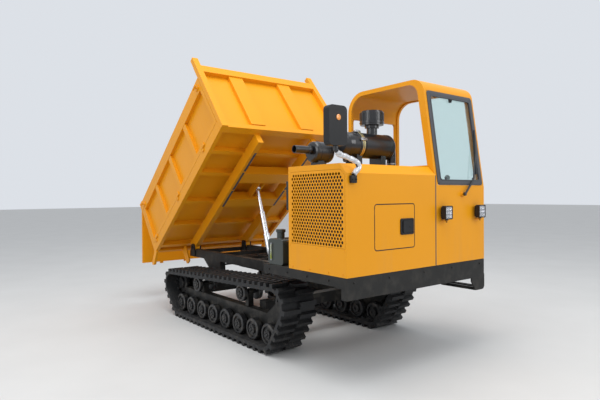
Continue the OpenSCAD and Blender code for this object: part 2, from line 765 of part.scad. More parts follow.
module cylinder_stage_2() {
    hollow_stage(1);
}

module cylinder_stage_3() {
    top = ram_l - stage_z(2);
    color(steel) ram_place() translate([0, 0, stage_z(2)]) difference() {
        union() {
            translate([0, 0, stage_bottom(2)])
                cylinder(r = stage_r[2], h = top - 20 - stage_bottom(2), $fn = 64);
            bar_y(0, top, eye_r, -eye_w / 2, eye_w / 2);
        }
        bar_y(0, top, eye_pin_r + eye_gap, -eye_w, eye_w);
    }
}

// ---- Engine hood ----
function hood_outline(t) = [[hood_rear + t, deck_z + (t > 0 ? -1 : 0)],
    [front_x - t, deck_z + (t > 0 ? -1 : 0)],
    [front_x - t, hood_z - hood_chamfer - 3 - t / 2], [front_x - hood_chamfer - t / 2, hood_z - t],
    [hood_rear + t, hood_z - t]];
function grille_outline(g) = [[grille_x0 - g, grille_z0 - g], [grille_x1 + g, grille_z0 - g],
    [grille_x1 + g, grille_z1 - grille_cut + g / 2], [grille_x1 - grille_cut + g / 2, grille_z1 + g],
    [grille_x0 - g, grille_z1 + g]];

module engine_hood() {
    color(paint) difference() {
        along_y(-half_w, seam_y - seam_gap / 2) polygon(hood_outline(0));
        along_y(-half_w + sheet_t, seam_y - seam_gap / 2 - sheet_t) polygon(hood_outline(sheet_t));
        along_y(-half_w - 1, -half_w + sheet_t + 1) polygon(grille_outline(2));
        along_x(front_x - sheet_t - 1, front_x + 1)
            polygon(round_rect([door_y0 - door_gap, door_y1 + door_gap],
                [door_z0 - door_gap, door_z1 + door_gap], 28));
        // Outlet of the air cleaner and of the muffler
        translate([cleaner_x, cleaner_pipe_y, hood_z - 20]) cylinder(r = 36, h = 40, $fn = 48);
    }
}

hole_rows = floor((grille_z1 - grille_z0 - 24) / grille_pitch_z);
hole_cols = floor((grille_x1 - grille_x0 - 24) / grille_pitch_x);
module side_grille() {
    margin = grille_hole_r + 5;
    color(paint) along_y(-half_w, -half_w + sheet_t) difference() {
        polygon(grille_outline(0));
        for (j = [0 : hole_rows], i = [0 : hole_cols])
            let (x = grille_x0 + margin + 2 + (i + (j % 2) / 2) * grille_pitch_x,
                 z = grille_z0 + margin + 2 + j * grille_pitch_z)
            if (x < grille_x1 - margin && z < grille_z1 - margin &&
                (grille_x1 - x) + (grille_z1 - z) > grille_cut + margin * 1.5)
                translate([x, z]) circle(r = grille_hole_r, $fn = 20);
    }
}

module access_door() {
    latch_y = door_y1 - 96;
    color(paint) {
        along_x(front_x - sheet_t, front_x) polygon(round_rect([door_y0, door_y1], [door_z0, door_z1], 25));
        // Hinge straps on the inner side
        for (z = [door_z0 + 60, door_z1 - 90])
            box([front_x - sheet_t - 8, front_x - sheet_t + weld], [door_y0 + 6, door_y0 + 60],
                [z, z + 30]);
        // Seat of the latch
        box([front_x - weld, front_x + 6], [latch_y - 76, latch_y + 76], [door_z0 + 109, door_z0 + 232]);
    }
}

module door_latch() {
    latch_y = door_y1 - 96;
    color(black) along_x(front_x + 6 + part_gap, front_x + 15)
        polygon(round_rect([latch_y - 56, latch_y + 56], [door_z0 + 122, door_z0 + 219], 12));
}

module engine_block() {
    x = fan_x;
    z = fan_z;
    color([0.30, 0.31, 0.32]) difference() {
        union() {
            box([x - 190, x + 190], [fan_y + 230, seam_y - 120], [z - 330, z - 120]);
            box([x - 150, x + 150], [fan_y + 210, seam_y - 90], [z - 121, z + 130]);
            box([x - 120, x + 120], [fan_y + 240, seam_y - 110], [z + 129, z + 210]);
            for (s = [-1, 1]) box([x + s * 160 - 35, x + s * 160 + 35], [fan_y + 280, fan_y + 420],
                [deck_z, z - 329]);
            // Radiator behind the grille, with its shroud and its foot
            box([x - 290, x + 290], [-half_w + 70, -half_w + 130], [grille_z0, grille_z1 - 30]);
            difference() {
                box([x - 280, x + 280], [-half_w + 129, -half_w + 190], [grille_z0 + 20, grille_z1 - 50]);
                bar_y(x, z, 246, -half_w + 130, -half_w + 191);
            }
            box([x - 280, x + 280], [-half_w + 80, -half_w + 120], [deck_z, grille_z0 + 1]);
            bar_y(x, z, 40, fan_y + 140, fan_y + 211);
            // Bearer that carries the engine and the radiator
            box([x - 195, x - 125], [-half_w + 80, fan_y + 420], [deck_z, deck_z + 40]);
        }
        bar_y(x, z, fan_shaft_r + fit_gap, fan_y + 30, fan_y + 215);
    }
}

module cooling_fan() {
    color(black) translate([fan_x, 0, fan_z]) {
        bar_y(0, 0, 60, fan_y - 30, fan_y + 30);
        bar_y(0, 0, fan_shaft_r, fan_y + 29, fan_y + 200);
        for (k = [0 : 6]) rotate([0, k * 360 / 7, 0]) translate([0, fan_y, 40]) rotate([0, 0, 32])
            box([-48, 48], [-3, 3], [0, 185]);
    }
}

cleaner_pipe_y = seam_y - 47;
cleaner_bend = 48;
module air_cleaner() {
    y0 = cleaner_pipe_y - cleaner_bend - 560;
    y1 = cleaner_pipe_y - cleaner_bend;
    color(black) {
        // Canister with a domed head and a rolled joint
        translate([cleaner_x, y1, cleaner_z]) rotate([90, 0, 0]) rotate_extrude($fn = 96)
            polygon([[0, 0], [cleaner_r - 26, 0], [cleaner_r - 6, 8], [cleaner_r, 26], [cleaner_r, 396],
                [cleaner_r + 8, 400], [cleaner_r + 8, 424], [cleaner_r - 2, 428], [cleaner_r - 2, 500],
                [cleaner_r - 12, 535], [cleaner_r - 50, 560], [0, 560]]);
        // Outlet elbow and pipe down into the hood
        translate([cleaner_x, y1, cleaner_z - cleaner_bend]) rotate([0, -90, 0])
            rotate_extrude(angle = 90, $fn = 72) translate([cleaner_bend, 0]) circle(r = 40, $fn = 32);
        translate([cleaner_x, cleaner_pipe_y, hood_z])
            cylinder(r = 40, h = cleaner_z - cleaner_bend - hood_z, $fn = 48);
        // Neck for the pre-cleaner
        translate([cleaner_x, y0 + 360, cleaner_z + cleaner_r - 20])
            cylinder(r = 46, h = 70, $fn = 48);
        // Cradle
        for (y = [y0 + 110, y0 + 400])
            box([cleaner_x - 70, cleaner_x + 70], [y, y + 60], [hood_z, cleaner_z - cleaner_r + 25]);
    }
}

cap_r = 108;
module pre_cleaner() {
    y = cleaner_pipe_y - cleaner_bend - 200;
    color(black) translate([cleaner_x, y, cleaner_z + cleaner_r + 50]) {
        cylinder(r = 62, h = 26, $fn = 48);
        translate([0, 0, 25]) cylinder(r = cap_r - 6, h = 16, $fn = 64);
        translate([0, 0, 40]) cylinder(r = cap_r, h = 12, $fn = 64);
        translate([0, 0, 51]) cylinder(r = cap_r - 6, h = 88, $fn = 64);
        translate([0, 0, 138]) cylinder(r = cap_r - 16, h = 10, $fn = 64);
    }
}

module muffler() {
    y0 = -half_w + 168;
    y1 = y0 + 195;
    color(black) {
        translate([muffler_x, y1, muffler_z]) rotate([90, 0, 0]) rotate_extrude($fn = 72)
            polygon([[0, 0], [muffler_r - 22, 0], [muffler_r - 6, 8], [muffler_r, 22], [muffler_r, 173],
                [muffler_r - 6, 187], [muffler_r - 22, 195], [0, 195]]);
        difference() {
            bar_y(muffler_x, muffler_z + 15, 32, y0 - 175, y0 + 1);
            bar_y(muffler_x, muffler_z + 15, 27, y0 - 176, y0 - 5);
        }
        translate([muffler_x, y1 - 70, hood_z]) cylinder(r = 34, h = muffler_z - hood_z, $fn = 48);
        box([muffler_x - 50, muffler_x + 50], [y0 + 40, y0 + 100], [hood_z, muffler_z - muffler_r + 18]);
    }
}

module mirror_arm() {
    x = front_x + mirror_out;
    color(steel) {
        box([front_x, front_x + 26], [-half_w + 32, -half_w + 84], [hood_z - 146, hood_z - 92]);
        rod([x, -half_w + 58, hood_z - 93], [x, -half_w + 112, hood_z - 40], 14);
        rod([x, -half_w + 112, hood_z - 40], [x, -half_w + 84, hood_z + 8], 14);
        rod([x, -half_w + 84, hood_z + 8], [x, -half_w - 10, hood_z + 38], 14);
        rod([x, -half_w - 10, hood_z + 38], [x, -half_w - 85, hood_z + 58], 14);
        rod([x, -half_w - 85, hood_z + 58], [x, mirror_y, mirror_z0 - 30], 14);
        translate([x, mirror_y, mirror_z0 - 31]) cylinder(r = 18, h = 30, $fn = 32);
        translate([x, mirror_y, mirror_z0 - 30]) cylinder(r = mirror_pin_r, h = 60, $fn = 32);
    }
}

module mirror_head() {
    x = front_x + mirror_out;
    color(black) difference() {
        along_x(x - 30, x + 30) polygon(round_rect([mirror_y - mirror_w / 2, mirror_y + mirror_w / 2],
            [mirror_z0, mirror_z0 + mirror_h], 34));
        translate([x, mirror_y, mirror_z0 - 1]) cylinder(r = mirror_pin_r + fit_gap, h = 35, $fn = 32);
    }
}

tank_x = [platform_rear + 50, platform_rear + 270];
module fuel_tank() {
    y0 = -half_w + 18;
    color([0.16, 0.19, 0.17]) {
        along_y(y0, y0 + 420) polygon(round_rect(tank_x, [deck_z, deck_z + 225], 34));
        translate([tank_x[0] + 110, y0 + 60, deck_z + 224]) cylinder(r = 34, h = 58, $fn = 48);
        translate([tank_x[0] + 110, y0 + 60, deck_z + 280]) cylinder(r = 42, h = 26, $fn = 48);
    }
}

// ---- Cab ----
rake_slope = glass_rake / (glass_z1 - glass_z0);
function rake_x(z) = front_x - max(0, z - glass_z0) * rake_slope;
function cab_outline(t, z0) = rounded(
    [[cab_rear + t, z0], [front_x - t, z0], [front_x - t, glass_z0], [rake_x(roof_z) - t, roof_z - t],
     [cab_rear + t, roof_z - t]],
    [0, 0, 0, 130 - t, 200 - t]);
pillar_w = 62;
post_d = 45;
roof_edge = 40;
// Side opening down to the height z0
function side_opening(z0) = rounded(
    [[cab_rear + post_d, z0], [rake_x(z0) - pillar_w, z0],
        [rake_x(roof_z) - pillar_w - 4, roof_z - roof_edge],
     [cab_rear + post_d, roof_z - roof_edge]],
    [0, 0, 110, 165]);

module windshield_cut(x0, x1, grow) {
    polygon([[rake_x(glass_z0) + x0, glass_z0 + 14 - grow], [rake_x(glass_z0) + x1, glass_z0 + 14 - grow],
        [rake_x(glass_z1) + x1, glass_z1 - 14 + grow], [rake_x(glass_z1) + x0, glass_z1 - 14 + grow]]);
}

module cab_shell() {
    door_x0 = cab_rear + 430;
    color(paint) {
        difference() {
            along_y(cab_y0, half_w) polygon(cab_outline(0, deck_z));
            along_y(cab_y0 + cab_t, half_w - cab_t) polygon(cab_outline(cab_t, deck_z - 1));
            along_y(cab_y0 - 1, cab_y0 + cab_t + 1) polygon(side_opening(sill_z));
            along_y(half_w - cab_t - 1, half_w + 1) polygon(side_opening(sill_z - 280));
            // Operator's entry on the outer side
            box([door_x0, front_x - pillar_w - 60], [half_w - cab_t - 1, half_w + 1],
                [deck_z + 30, sill_z - 279]);
            // Rear opening
            along_x(cab_rear - 1, cab_rear + cab_t + 1)
                polygon(round_rect([cab_y0 + post_d, half_w - post_d], [sill_z - 200, roof_z - 250], 30));
            // Windshield opening
            along_y(cab_y0 + 33, half_w - 33) windshield_cut(-cab_t - 20, 30, 0);
        }
        // Seat box and control console
        difference() {
            box([cab_rear + cab_t - 1, cab_rear + 490], [seat_y - 216, seat_y + 216],
                [deck_z, deck_z + 306]);
            box([cab_rear + cab_t + 20, cab_rear + 470], [seat_y - 196, seat_y + 196],
                [deck_z - 1, deck_z + 286]);
        }
        difference() {
            box([lever_x - 40, front_x - cab_t + 1], [seat_y - 260, seat_y + 260],
                [lever_z - 190, lever_z]);
            box([lever_x - 25, front_x - cab_t - 20], [seat_y - 245, seat_y + 245],
                [lever_z - 191, lever_z - 15]);
        }
        for (y = lever_ys) difference() {
            box([lever_x - 18, lever_x + 18], [y - 26, y - 10], [lever_z - 1, lever_z + 34]);
            bar_y(lever_x, lever_z + 18, 6 + fit_gap, y - 27, y - 9);
        }
        // Lamp brackets and the wiper's spindle housing
        for (y = lamp_ys) difference() {
            box([front_x - 1, lamp_x + lamp_d / 2 + 12], [y - 15, y + 15],
                [lamp_z - lamp_h / 2 - 16, lamp_z - lamp_h / 2 - 10]);
            translate([lamp_x + lamp_d / 2, y, lamp_z - lamp_h / 2 - 17])
                cylinder(r = lamp_bolt_r + fit_gap, h = 8, $fn = 32);
        }
        difference() {
            bar_x(wiper_y, wiper_z, 20, front_x - 1, front_x + 18);
            wiper_place() bar_x(0, 0, 8 + fit_gap, -12, 40);
        }
    }
}

module windshield() {
    color([0.55, 0.75, 0.72]) along_y(cab_y0 + 34, half_w - 34) windshield_cut(-14, -14 + glass_t, -1);
}

// The wiper turns about the normal of the windshield
rake_angle = atan(rake_slope);
module wiper_place() {
    translate([front_x, wiper_y, wiper_z]) rotate([0, -rake_angle, 0]) children();
}

module wiper() {
    arm_x = 30;
    tip_y = 252;
    tip_z = 390;
    color(black) wiper_place() {
        bar_x(0, 0, 8, 2, arm_x + 9);
        bar_x(0, 0, 16, arm_x - 6, arm_x + 8);
        along_x(arm_x, arm_x + 6) polygon([[-8, 4], [8, -8], [162, 122], [tip_y + 7, tip_z],
            [tip_y - 7, tip_z + 4], [148, 132]]);
        translate([arm_x, tip_y, tip_z]) rotate([-8, 0, 0]) box([-18, 4], [-6, 6], [-210, 210]);
    }
}

module headlamp(y) {
    mid = lamp_x + lamp_d / 2;
    color(black) {
        along_x(lamp_x + 14, lamp_x + lamp_d)
            polygon(round_rect([y - lamp_w / 2, y + lamp_w / 2],
                [lamp_z - lamp_h / 2, lamp_z + lamp_h / 2], 12));
        for (k = [0 : 4]) box([lamp_x, lamp_x + 15], [y - 40 + k * 18, y - 32 + k * 18],
            [lamp_z - 45, lamp_z + 45]);
        translate([mid, y, lamp_z - lamp_h / 2 - 9]) cylinder(r = 13, h = 10, $fn = 32);
        translate([mid, y, lamp_z - lamp_h / 2 - 26]) cylinder(r = lamp_bolt_r, h = 26, $fn = 32);
    }
}

module seat() {
    z = deck_z + 308;
    x = cab_rear;
    color(black) {
        along_y(seat_y - 220, seat_y + 220) polygon(round_rect([x + 108, x + 508], [z, z + 92], 34));
        along_y(seat_y - 215, seat_y + 215) polygon(rounded([[x + 60, z + 60], [x + 150, z + 60],
            [x + 122, z + 480], [x + 38, z + 480]], [20, 20, 36, 36]));
    }
}

module control_lever(y) {
    color(black) {
        bar_y(lever_x, lever_z + 18, 6, y - 28, y + 9);
        bar_y(lever_x, lever_z + 18, 14, y - 9, y + 11);
        translate([lever_x, y, lever_z + 18]) rotate([0, -20, 0]) {
            cylinder(r = 8, h = 170, $fn = 48);
            translate([0, 0, 176]) sphere(r = 25, $fn = 64);
        }
    }
}

sides = [["l", 1], ["r", -1]];
for (s = sides) {
    track_belt(s[1]);
    track_frame(s[1]);
    sprocket_wheel(s[1]);
    front_idler(s[1]);
    roller(s[1], carrier_rear_x, carrier_z(carrier_rear_x), carrier_r, carrier_w);
    roller(s[1], carrier_front_x, carrier_z(carrier_front_x), carrier_r, carrier_w);
    for (i = [1 : roller_n])
        roller(s[1], roller_x(i - 1), roller_z, roller_r, roller_w);
}
chassis_frame();
platform_frame();
entry_step();
bed_floor();
headboard();
drop_side(1);  // drop_side_l
drop_side(-1);  // drop_side_r
tailgate();
cylinder_barrel();
cylinder_stage_1();
cylinder_stage_2();
cylinder_stage_3();
engine_hood();
side_grille();
access_door();
door_latch();
engine_block();
cooling_fan();
air_cleaner();
pre_cleaner();
muffler();
mirror_arm();
mirror_head();
fuel_tank();
cab_shell();
windshield();
wiper();
headlamp(lamp_ys[0]);  // headlamp_r
headlamp(lamp_ys[1]);  // headlamp_l
seat();
control_lever(lever_ys[0]);  // control_lever_r
control_lever(lever_ys[1]);  // control_lever_l
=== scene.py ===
"""Looks of the crawler dumper: paint, rubber, glass, lamps, seat, hoses and small trim."""

import json
import math
import sys

import bpy
from mathutils import Matrix, Vector
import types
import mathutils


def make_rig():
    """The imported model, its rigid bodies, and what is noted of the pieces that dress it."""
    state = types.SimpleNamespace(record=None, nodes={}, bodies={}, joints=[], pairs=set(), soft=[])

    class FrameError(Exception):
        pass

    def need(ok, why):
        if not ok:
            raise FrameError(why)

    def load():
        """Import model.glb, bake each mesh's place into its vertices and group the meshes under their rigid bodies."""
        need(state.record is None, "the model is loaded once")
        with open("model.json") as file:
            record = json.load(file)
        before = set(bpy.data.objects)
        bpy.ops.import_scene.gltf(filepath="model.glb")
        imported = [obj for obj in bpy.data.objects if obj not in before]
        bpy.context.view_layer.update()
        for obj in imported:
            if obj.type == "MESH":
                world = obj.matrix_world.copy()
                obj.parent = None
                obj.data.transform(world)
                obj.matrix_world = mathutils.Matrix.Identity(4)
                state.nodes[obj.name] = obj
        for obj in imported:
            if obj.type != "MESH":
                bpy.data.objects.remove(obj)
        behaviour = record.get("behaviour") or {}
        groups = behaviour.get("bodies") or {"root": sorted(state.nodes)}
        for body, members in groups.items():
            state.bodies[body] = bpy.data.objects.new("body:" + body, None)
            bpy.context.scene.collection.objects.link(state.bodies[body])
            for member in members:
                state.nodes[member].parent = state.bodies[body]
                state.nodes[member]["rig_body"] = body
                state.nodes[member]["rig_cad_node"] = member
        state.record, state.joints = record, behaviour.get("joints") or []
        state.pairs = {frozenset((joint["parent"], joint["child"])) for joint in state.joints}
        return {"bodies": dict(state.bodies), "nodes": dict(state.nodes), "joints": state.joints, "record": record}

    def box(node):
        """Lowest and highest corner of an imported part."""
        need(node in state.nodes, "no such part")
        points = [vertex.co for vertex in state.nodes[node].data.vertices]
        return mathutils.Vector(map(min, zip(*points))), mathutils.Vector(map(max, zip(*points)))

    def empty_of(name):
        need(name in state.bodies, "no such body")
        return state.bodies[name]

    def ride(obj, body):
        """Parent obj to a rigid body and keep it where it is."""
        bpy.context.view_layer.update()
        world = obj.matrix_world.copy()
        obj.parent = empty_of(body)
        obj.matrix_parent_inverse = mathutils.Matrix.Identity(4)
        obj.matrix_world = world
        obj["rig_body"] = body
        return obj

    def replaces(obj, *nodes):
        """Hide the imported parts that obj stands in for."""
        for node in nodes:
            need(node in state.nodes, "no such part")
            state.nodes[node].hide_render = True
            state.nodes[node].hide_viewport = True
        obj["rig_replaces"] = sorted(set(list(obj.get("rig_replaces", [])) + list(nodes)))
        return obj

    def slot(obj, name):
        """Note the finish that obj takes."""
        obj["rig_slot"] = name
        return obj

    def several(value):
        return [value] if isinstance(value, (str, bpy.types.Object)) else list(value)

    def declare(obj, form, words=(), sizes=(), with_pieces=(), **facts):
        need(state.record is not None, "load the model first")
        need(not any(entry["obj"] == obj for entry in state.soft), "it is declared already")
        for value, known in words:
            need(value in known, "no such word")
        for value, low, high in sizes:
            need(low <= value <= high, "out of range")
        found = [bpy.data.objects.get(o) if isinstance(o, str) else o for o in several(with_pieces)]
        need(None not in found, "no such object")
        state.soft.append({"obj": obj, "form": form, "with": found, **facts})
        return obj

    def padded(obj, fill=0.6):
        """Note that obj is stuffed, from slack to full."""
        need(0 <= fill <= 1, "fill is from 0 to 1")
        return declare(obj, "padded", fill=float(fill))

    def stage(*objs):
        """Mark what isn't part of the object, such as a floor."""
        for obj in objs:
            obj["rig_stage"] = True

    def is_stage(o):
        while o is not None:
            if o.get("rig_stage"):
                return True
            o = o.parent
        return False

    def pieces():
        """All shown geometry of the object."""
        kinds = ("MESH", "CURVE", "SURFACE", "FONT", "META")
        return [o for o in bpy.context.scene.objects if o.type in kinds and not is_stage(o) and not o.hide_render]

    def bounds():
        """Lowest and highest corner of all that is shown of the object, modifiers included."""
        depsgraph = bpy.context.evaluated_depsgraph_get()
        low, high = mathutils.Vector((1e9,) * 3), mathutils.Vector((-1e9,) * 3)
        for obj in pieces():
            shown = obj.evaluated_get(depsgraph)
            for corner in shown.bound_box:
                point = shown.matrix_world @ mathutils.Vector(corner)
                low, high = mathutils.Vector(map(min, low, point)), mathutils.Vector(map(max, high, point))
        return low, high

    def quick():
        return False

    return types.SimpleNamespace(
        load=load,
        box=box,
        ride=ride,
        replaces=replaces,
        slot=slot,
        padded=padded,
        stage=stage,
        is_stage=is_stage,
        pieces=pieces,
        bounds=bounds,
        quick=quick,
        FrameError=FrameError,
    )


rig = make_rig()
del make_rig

bl_info = {
    "name": "Crawler dumper looks",
    "version": (1, 0, 0),
    "blender": (4, 5, 0),
    "location": "View3D > Sidebar > Dumper",
    "description": "Paints the crawler dumper and adds its seals, lamps, seat, hoses and trim",
    "category": "Object",
}

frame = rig.load()
CAD_BOX = [list(corner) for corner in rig.bounds()]
JOINTS = {joint["name"]: joint for joint in frame["joints"]}

# The bed's own axes: where its tip pin lies, and how far it is raised
BED_PIN = Vector((0.223, 0.0, -0.100))
BED_PIVOT = Vector(JOINTS["bed_tip"]["pos_m"])
BED_TIP = math.radians(-JOINTS["bed_tip"]["range_deg"][0])
BED_PLACE = (
    Matrix.Translation(BED_PIVOT)
    @ Matrix.Rotation(-BED_TIP, 4, "Y")
    @ Matrix.Translation(-BED_PIN)
)

HOOD_LO, HOOD_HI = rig.box("engine_hood")
CAB_LO, CAB_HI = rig.box("cab_shell")
FRONT_X = HOOD_HI.x
DECK_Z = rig.box("platform_frame")[1].z

# Centres and radii that the frame's boxes don't tell by themselves, in metres
LATCH = Vector((FRONT_X, -0.218, 1.1705))
CLEANER_X, CLEANER_Z, CLEANER_R = 1.610, 1.845, 0.108
MUFFLER_X, MUFFLER_Z, MUFFLER_R = 1.460, 1.782, 0.088
MIRROR_X = FRONT_X + 0.017
TANK_X, TANK_FILLER_Y, TANK_TOP = 1.150, -0.797, DECK_Z + 0.225
CONSOLE_TOP = 1.394
LEVER_X, LEVER_Y = 1.895, 0.110
RIGHT, FRONT, UP = (0, -1, 0), (1, 0, 0), (0, 0, 1)
FACING_FRONT = ((0, 1, 0), UP)


# ---- Sizes and colours that a user may change ----
def colour(name, description, default):
    return bpy.props.FloatVectorProperty(name=name, description=description, subtype="COLOR",
                                         size=3, min=0, max=1, default=default)


def length(name, description, default, least, most):
    return bpy.props.FloatProperty(name=name, description=description, default=default,
                                   min=least, max=most, unit="LENGTH")


class DumperColours(bpy.types.PropertyGroup):
    """Colours of the dumper's finishes."""

    body: colour("Body paint", "Paint of the hood, cab and bed", (0.79, 0.320, 0.006))
    frame: colour("Frame paint", "Paint of the chassis and platform", (0.0105, 0.0100, 0.0088))
    wheels: colour("Wheel paint", "Paint of the rollers, idlers and sprockets", (0.009, 0.009, 0.010))
    rubber: colour("Track rubber", "Rubber of the two belts", (0.010, 0.0105, 0.012))
    dust: colour("Dust", "Dust that settles low down", (0.26, 0.23, 0.19))
    glass: colour("Glass tint", "Tint of the windshield", (0.70, 0.88, 0.86))
    seat: colour("Seat cover", "Woven cover of the seat", (0.030, 0.031, 0.034))


class DumperSizes(bpy.types.PropertyGroup):
    """Sizes of the dumper's trim."""

    edge: length("Edge radius", "Radius of the folded and ground steel edges", 0.004, 0.001, 0.01)
    seal: length("Seal width", "Width of the windshield's rubber seal", 0.042, 0.02, 0.06)
    hose: length("Hose radius", "Radius of the hydraulic hoses", 0.011, 0.006, 0.02)
    weave: length("Weave", "Width of one thread of the seat's cover", 0.0035, 0.001, 0.01)


# ---- Shader maths ----
class Number:
    """A number socket of a material, on which Python's operators add Math nodes."""

    def __init__(self, finish, socket):
        self.finish = finish
        self.socket = socket

    def maths(self, operation, *values):
        return Number(self.finish, self.finish.node(
            "ShaderNodeMath", {"operation": operation}, dict(enumerate(values))).outputs[0])

    def __add__(self, other):
        return self.maths("ADD", self, other)

    def __sub__(self, other):
        return self.maths("SUBTRACT", self, other)

    def __rsub__(self, other):
        return self.maths("SUBTRACT", other, self)

    def __mul__(self, other):
        return self.maths("MULTIPLY", self, other)

    def above(self, low, high):
        """0 below low, 1 above high, with a straight rise between them."""
        node = self.finish.node("ShaderNodeMapRange", {}, {0: self, 1: low, 2: high, 3: 0.0, 4: 1.0})
        return Number(self.finish, node.outputs[0])

    __radd__ = __add__
    __rmul__ = __mul__


class Finish:
    """A material under construction."""

    made = {}

    def __init__(self, name):
        self.material = bpy.data.materials.new(name)
        self.material.use_nodes = True
        self.tree = self.material.node_tree
        self.tree.nodes.clear()
        self.position = self.node("ShaderNodeTexCoord", {}, {}).outputs["Object"]

    def node(self, kind, settings, values):
        """Adds a node, sets it up and fills its sockets with values or links."""
        node = self.tree.nodes.new(kind)
        for key, value in settings.items():
            setattr(node, key, value)
        for key, value in values.items():
            if isinstance(value, Number):
                value = value.socket
            if isinstance(value, bpy.types.NodeSocket):
                self.tree.links.new(value, node.inputs[key])
            else:
                node.inputs[key].default_value = value
        return node

    def noise(self, scale, detail=3.0, stretch=None, rough=0.55):
        """Cloudy noise; stretch gives a scale for each axis."""
        place = self.position
        if stretch:
            place = self.node("ShaderNodeMapping", {}, {"Vector": place, "Scale": stretch}).outputs[0]
        node = self.node("ShaderNodeTexNoise", {},
                         {"Vector": place, "Scale": scale, "Detail": detail, "Roughness": rough})
        return Number(self, node.outputs[0])

    def wave(self, scale, axis):
        """Even bands across an axis."""
        node = self.node("ShaderNodeTexWave", {"bands_direction": axis},
                         {"Vector": self.position, "Scale": scale, "Distortion": 0.0})
        return Number(self, node.outputs[1])

    def cells(self, scale):
        """Distance from the middle of each cell."""
        node = self.node("ShaderNodeTexVoronoi", {}, {"Vector": self.position, "Scale": scale})
        return Number(self, node.outputs["Distance"])

    def axis(self, letter):
        """The height along an axis, in metres."""
        node = self.node("ShaderNodeSeparateXYZ", {}, {0: self.position})
        return Number(self, node.outputs["XYZ".index(letter)])

    def facing_up(self):
        normal = self.node("ShaderNodeNewGeometry", {}, {}).outputs["Normal"]
        return Number(self, self.node("ShaderNodeSeparateXYZ", {}, {0: normal}).outputs[2])

    def mix(self, factor, a, b):
        """Colour a where the factor is 0 and b where it is 1."""
        node = self.node("ShaderNodeMix", {"data_type": "RGBA"}, {0: factor})
        for key, colour in ((6, a), (7, b)):
            if isinstance(colour, bpy.types.NodeSocket):
                self.tree.links.new(colour, node.inputs[key])
            else:
                node.inputs[key].default_value = (*colour[:3], 1.0)
        return node.outputs[2]

    def bump(self, height, strength, depth):
        return self.node("ShaderNodeBump", {},
                         {"Height": height, "Strength": strength, "Distance": depth}).outputs[0]

    def shader(self, **values):
        names = {"colour": "Base Color", "rough": "Roughness", "metal": "Metallic", "normal": "Normal",
                 "coat": "Coat Weight", "coat_rough": "Coat Roughness", "clear": "Transmission Weight",
                 "ior": "IOR", "sheen": "Sheen Weight", "glow": "Emission Color",
                 "glow_strength": "Emission Strength", "specular": "Specular IOR Level"}
        filled = {}
        for key, value in values.items():
            if key in ("colour", "glow") and not isinstance(value, bpy.types.NodeSocket):
                value = (*value[:3], 1.0)
            filled[names[key]] = value
        shader = self.node("ShaderNodeBsdfPrincipled", {}, filled)
        self.node("ShaderNodeOutputMaterial", {}, {"Surface": shader.outputs[0]})
        return self.material


def colours():
    return bpy.context.scene.dumper_colours


def sizes():
    return bpy.context.scene.dumper_sizes


def darker(colour, share):
    return tuple(channel * share for channel in colour[:3])


def finish(name):
    """The material of that name, made on first use."""
    if name not in Finish.made:
        Finish.made[name] = globals()["finish_" + name](Finish(name))
    return Finish.made[name]


def finish_body_paint(f):
    """Glossy yellow-orange enamel with a faint orange peel and a little settled dust."""
    tone = tuple(colours().body)
    drift = f.noise(1.3, 4.0).above(0.35, 0.7)
    base = f.mix(drift * 0.35, tone, darker(tone, 0.88))
    specks = f.noise(95.0, 2.0).above(0.70, 0.76)
    runs = f.noise(7.0, 5.0, stretch=(1, 1, 0.15)).above(0.55, 0.8)
    low = 1 - f.axis("Z").above(0.8, 1.5)
    dusty = (specks * 0.25 + runs * low * 0.22
             + f.facing_up().above(0.7, 1.0) * f.noise(4.0).above(0.4, 0.8) * 0.16)
    base = f.mix(dusty * 0.6, base, colours().dust)
    peel = f.noise(260.0, 1.0) * 0.4 + f.noise(14.0, 2.0) * 0.6
    return f.shader(colour=base, rough=f.noise(5.0, 4.0) * 0.12 + 0.34 + dusty * 0.4, specular=0.22,
                    coat=0.10, coat_rough=0.10, normal=f.bump(peel, 0.06, 0.002))


def finish_frame_paint(f):
    """Satin dark grey chassis paint with dust low down and small stone chips."""
    tone = tuple(colours().frame)
    base = f.mix(f.noise(3.0, 4.0), tone, darker(tone, 0.7))
    dusty = (f.noise(9.0, 6.0).above(0.48, 0.78) * (1 - f.axis("Z").above(0.2, 0.95)) * 0.34
             + f.facing_up().above(0.6, 1.0) * f.noise(6.0, 4.0).above(0.35, 0.75) * 0.22)
    base = f.mix(dusty, base, colours().dust)
    chips = f.cells(46.0).above(0.0, 0.16)
    base = f.mix((1 - chips) * f.noise(3.5).above(0.6, 0.7) * 0.6, base, (0.20, 0.19, 0.18))
    return f.shader(colour=base, rough=f.noise(12.0) * 0.2 + 0.46 + dusty * 0.3, specular=0.35,
                    coat=0.02, coat_rough=0.3, normal=f.bump(f.noise(220.0, 2.0), 0.10, 0.002))


def finish_wheel_paint(f):
    """Black enamel on rough castings, dusty in the recesses."""
    tone = tuple(colours().wheels)
    dusty = f.noise(15.0, 6.0).above(0.5, 0.8) * 0.30
    base = f.mix(dusty, tone, colours().dust)
    return f.shader(colour=base, rough=f.noise(20.0) * 0.25 + 0.33, coat=0.15, coat_rough=0.3,
                    normal=f.bump(f.noise(160.0, 3.0) + f.noise(30.0) * 0.5, 0.16, 0.002))


